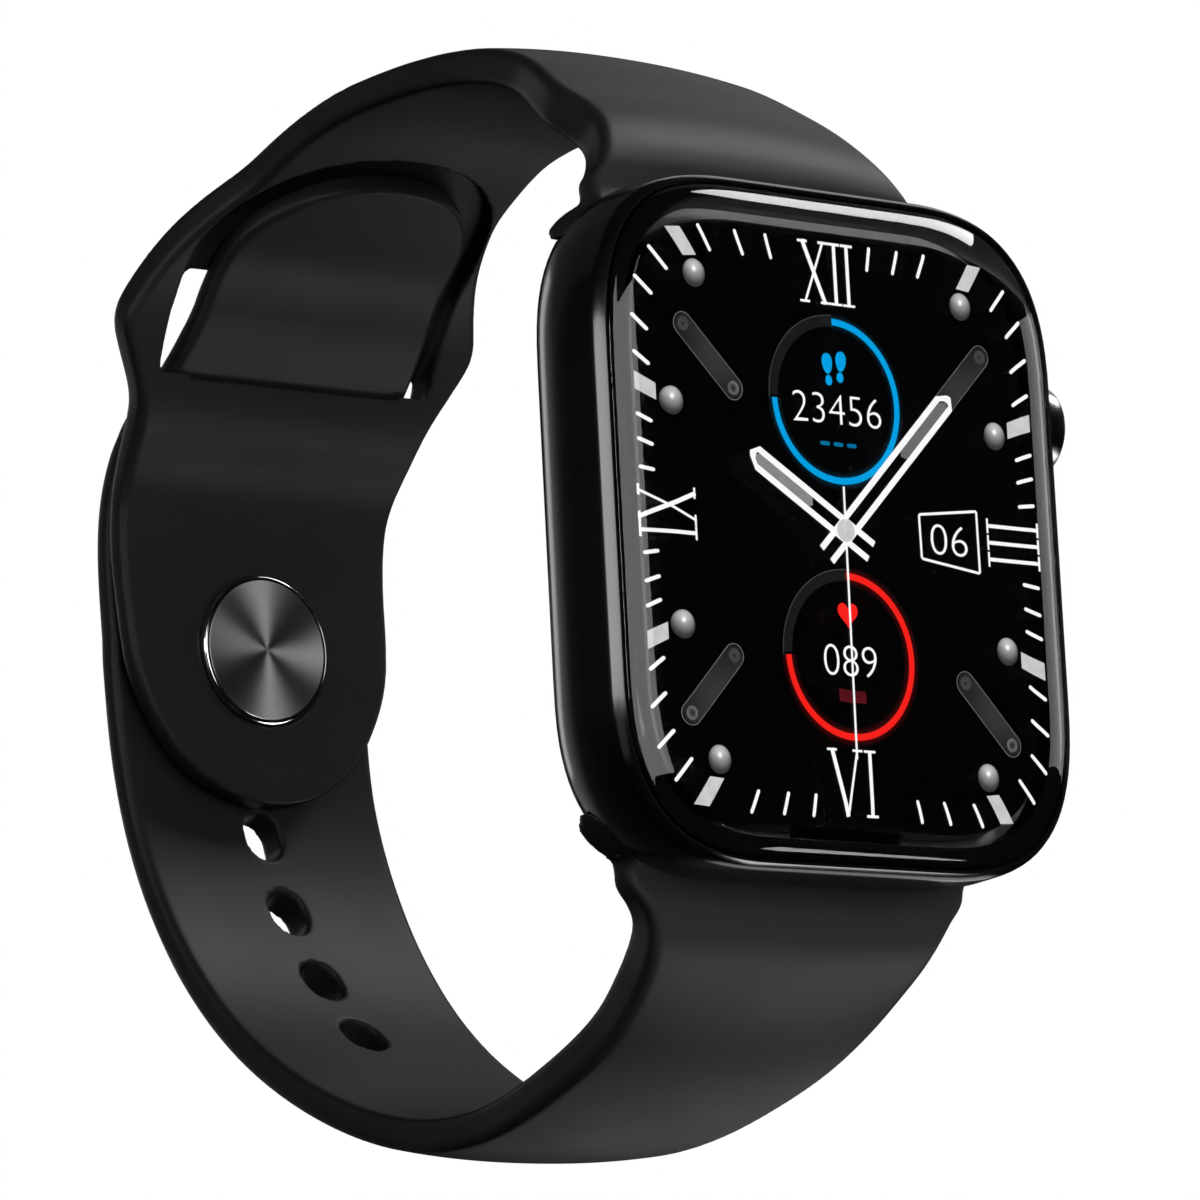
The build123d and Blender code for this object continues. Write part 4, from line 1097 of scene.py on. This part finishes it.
rim_ob = link("clasp_pin_body", rim, MAT["pin_rim"], "upper_band", angle=35)
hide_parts("closure_pin")
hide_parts("closure_pin")

# ---------------------------------------------------------------- crown
NK = 72
prof = [(0.0, 20.83), (1.6, 20.83), (2.2, 20.81), (2.45, 20.76), (2.66, 20.68), (2.80, 20.56), (2.92, 20.44), (3.05, 20.34), (3.09, 20.20), (3.09, 19.15), (3.05, 18.98),
        (2.90, 18.82), (1.02, 18.80)]
verts, faces = [], []
rings = []
n_ = NK * 4
for i, (r_, x_) in enumerate(prof):
    ids = []
    if r_ == 0:
        ids = [len(verts)]; verts.append(mm(x_, 3.75, 8.5))
    else:
        for k in range(n_):
            a = 2 * math.pi * k / n_
            depth = 0.0
            ph = (k % 4)
            rr = r_ - (depth if ph in (0, 3) else 0.0)
            ids.append(len(verts)); verts.append(mm(x_, 3.75 + rr * math.cos(a), 8.5 + rr * math.sin(a)))
    rings.append(ids)
for a, b2 in zip(rings, rings[1:]):
    for k in range(n_):
        k2 = (k + 1) % n_
        if len(a) == 1:
            faces.append((a[0], b2[k], b2[k2]))
        else:
            faces.append((a[k], b2[k], b2[k2], a[k2]))
faces.append(tuple(rings[-1]))
crown = link("crown_knob", mesh_from("crown_knob", verts, faces), MAT["crown"], "crown", angle=35)
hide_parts("crown_cap")

# ---------------------------------------------------------------- carried-over CAD pieces
ASSIGN = {
    "glass_adhesive": "adhesive", "display_panel": "display_black", "display_bracket": "inner_steel", "display_flex": "flex",
    "main_board": "board", "board_screws": "screw", "board_chips": "chip", "shield_can": "inner_steel", "battery_pad": "foam",
    "battery": "battery", "speaker_box": "plastic", "speaker_diaphragm": "film", "microphone": "inner_steel",
    "vibration_motor_can": "inner_steel", "vibration_motor_shaft": "screw", "vibration_motor_rotor": "tungsten",
    "crown_bush": "inner_steel", "crown_gasket": "seal", "crown_switch": "plastic", "crown_stem": "inner_steel",
    "crown_thrust_washer": "inner_steel", "side_button": "case", "side_button_gasket": "seal", "side_button_switch": "plastic",
    "back_cover": "back", "back_gasket": "seal", "back_screws": "screw", "sensor_board": "board",
    "sensor_leds": "led", "sensor_photodiodes": "chip", "sensor_baffle": "plastic", "upper_release_button": "release",
    "lower_release_button": "release", "upper_lug_bar": "lug", "lower_lug_bar": "lug"}
for node, key in ASSIGN.items():
    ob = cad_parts[node]
    for s in ob.material_slots:
        s.material = MAT[key]
    if not ob.material_slots:
        ob.data.materials.append(MAT[key])

# sensor crystal on the back, as a fine dome with its rings
prof = [(0.0, 9.70)] + [(q, 9.70) for q in (2.0, 3.6)] + [(q, 9.80 - 63.125 + math.sqrt(63.125 ** 2 - q * q)) for q in (4.2, 5.5, 7, 8.5, 10, 11.2, 12.0)] + [(12.36, 8.50), (12.48, 8.40), (12.5, 8.28), (12.5, 7.93), (0.0, 7.93)]
cr = link("sensor_dome", lathe("sensor_dome", prof, (0, 0, 0), (0, 1, 0), 160), MAT["sensor_glass"], "case", angle=35)
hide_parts("sensor_crystal")

# ---------------------------------------------------------------- stage, light, camera
def stage_mat(name, col, one_sided=False):
    m, nt, b = new_mat(name)
    n = noise(nt, 3.0)
    r = ramp(nt, n.outputs["Fac"], [(0.3, tuple(c * 0.985 for c in col)), (0.7, col)])
    nt.links.new(r.outputs["Color"], b.inputs["Base Color"])
    b.inputs["Roughness"].default_value = 0.8
    b.inputs["Specular IOR Level"].default_value = 0.1
    if one_sided:
        tr = nt.nodes.new("ShaderNodeBsdfTransparent")
        mx = nt.nodes.new("ShaderNodeMixShader")
        ge = nt.nodes.new("ShaderNodeNewGeometry")
        nt.links.new(ge.outputs["Backfacing"], mx.inputs[0])
        nt.links.new(b.outputs[0], mx.inputs[1]); nt.links.new(tr.outputs[0], mx.inputs[2])
        nt.links.new(mx.outputs[0], nt.nodes["Material Output"].inputs["Surface"])
    return m


zf = cad_lo[2] - 0.0002
me = bpy.data.meshes.new("floor")
R_ = 1.6
me.from_pydata([(-R_, -R_, zf), (R_, -R_, zf), (R_, R_, zf), (-R_, R_, zf)], [], [(0, 1, 2, 3)])
floor = bpy.data.objects.new("floor", me)
bpy.context.scene.collection.objects.link(floor)
me.materials.append(stage_mat("floor_pale", (0.86, 0.86, 0.86), True))
floor.visible_glossy = False
floor.visible_diffuse = False

w = bpy.data.worlds.new("studio"); bpy.context.scene.world = w; w.use_nodes = True
nt = w.node_tree
for n in list(nt.nodes):
    nt.nodes.remove(n)
out = nt.nodes.new("ShaderNodeOutputWorld")
lp = nt.nodes.new("ShaderNodeLightPath")
bg1 = nt.nodes.new("ShaderNodeBackground"); bg1.inputs[0].default_value = (1, 1, 1, 1); bg1.inputs[1].default_value = 1.0
bg2 = nt.nodes.new("ShaderNodeBackground"); bg2.inputs[1].default_value = 1.0
tc = nt.nodes.new("ShaderNodeTexCoord")
sp_ = nt.nodes.new("ShaderNodeSeparateXYZ")
nt.links.new(tc.outputs["Generated"], sp_.inputs[0])
mr = maprange(nt, sp_.outputs["Y"], 0.0, 1.0, -1.0, 1.0)
rr = ramp(nt, mr.outputs[0], [(0.0, (0.004, 0.004, 0.004)), (0.80, (0.004, 0.004, 0.004)), (0.93, (0.05, 0.05, 0.05)), (0.98, (0.5, 0.5, 0.5))])
nt.links.new(rr.outputs["Color"], bg2.inputs[0])
mx = nt.nodes.new("ShaderNodeMixShader")
nt.links.new(lp.outputs["Is Camera Ray"], mx.inputs[0])
nt.links.new(bg2.outputs[0], mx.inputs[1]); nt.links.new(bg1.outputs[0], mx.inputs[2])
nt.links.new(mx.outputs[0], out.inputs["Surface"])


def soft(name, direction, dist, size, power, target=(0, -0.03, 0)):
    d = Vector(direction).normalized()
    la = bpy.data.lights.new(name, "AREA")
    la.shape = "RECTANGLE"; la.size = size[0]; la.size_y = size[1]
    la.energy = power
    ob = bpy.data.objects.new(name, la)
    bpy.context.scene.collection.objects.link(ob)
    t = Vector(target)
    ob.location = t + d * dist
    ob.rotation_euler = (-d).to_track_quat("-Z", "Z").to_euler()
    ob.visible_camera = False
    return ob


def radiance(size, value):
    """Watts that give a softbox this radiance."""
    return value * math.pi * size[0] * size[1]


for nm, d, dist, size, val, gl_ in (
        ("front_left", (-0.31, -0.95, 0.0), 0.60, (0.42, 0.42), 3.2, True),
        ("front_right", (0.31, -0.95, 0.0), 0.60, (0.42, 0.42), 3.8, False),
        ("top_front", (-0.10, -0.80, 0.60), 0.60, (0.30, 0.30), 1.6, False),
        ("top_right", (0.757, -0.313, 0.574), 0.60, (0.42, 0.42), 0.3, False),
        ("low_right", (0.757, -0.313, -0.574), 0.60, (0.42, 0.42), 2.0, False),
        ("low_front", (0.10, -0.75, -0.66), 0.60, (0.30, 0.30), 1.4, False),
        ("behind_left", (-0.31, 0.757, 0.574), 0.60, (0.42, 0.42), 0.05, True),
        ("behind_right", (0.31, 0.757, 0.574), 0.60, (0.42, 0.42), 0.03, True),
        ("left_side", (-1.0, 0.0, 0.0), 0.60, (0.42, 0.42), 0.3, True)):
    la_ = soft(nm, d, dist, size, radiance(size, val))
    la_.visible_glossy = gl_
    la_.visible_transmission = gl_

# narrow boxes that only show as reflections in the polished case, the glass edge and the clasp
for nm, d, dist, size, val in (
        ("strip_left", (-0.96, 0.0, 0.17), 0.70, (0.18, 0.70), 6.0),
        ("strip_left_front", (-0.63, -0.76, 0.17), 0.70, (0.24, 0.60), 2.6),
        ("strip_behind", (-0.10, 0.97, 0.17), 0.70, (0.16, 0.40), 1.5),
        ("strip_top_behind", (0.60, 0.48, 0.62), 0.70, (0.34, 0.22), 0.7),
        ("strip_top", (0.63, -0.10, 0.77), 0.70, (0.34, 0.26), 9.0),
        ("strip_low", (0.63, -0.20, -0.74), 0.70, (0.36, 0.34), 6.5),
        ("strip_low_behind", (0.63, 0.52, -0.57), 0.70, (0.40, 0.30), 1.0),
        ("strip_right", (0.94, 0.0, 0.17), 0.70, (0.20, 0.50), 1.1)):
    soft(nm, d, dist, size, radiance(size, val)).visible_diffuse = False

right2 = Vector((0.7736713, -0.63156083, -0.0506324))
up2 = Vector((-0.06850011, -0.1628232, 0.98427453))
back_ = Vector((-0.62987337, -0.75803662, -0.16923362))
cam_d = bpy.data.cameras.new("camera"); cam_d.sensor_width = 36.0; cam_d.lens = 6768.722 / 1200 * 36.0
cam_d.clip_start = 0.01; cam_d.clip_end = 20
cam = bpy.data.objects.new("camera", cam_d)
bpy.context.scene.collection.objects.link(cam)
loc = Vector((-276.52532162, -308.87089486 + DY, -74.88341931)) * MM
cam.matrix_world = Matrix(((right2.x, up2.x, back_.x, loc.x), (right2.y, up2.y, back_.y, loc.y), (right2.z, up2.z, back_.z, loc.z), (0, 0, 0, 1)))
bpy.context.scene.camera = cam
bpy.context.scene.view_settings.view_transform = "Standard"
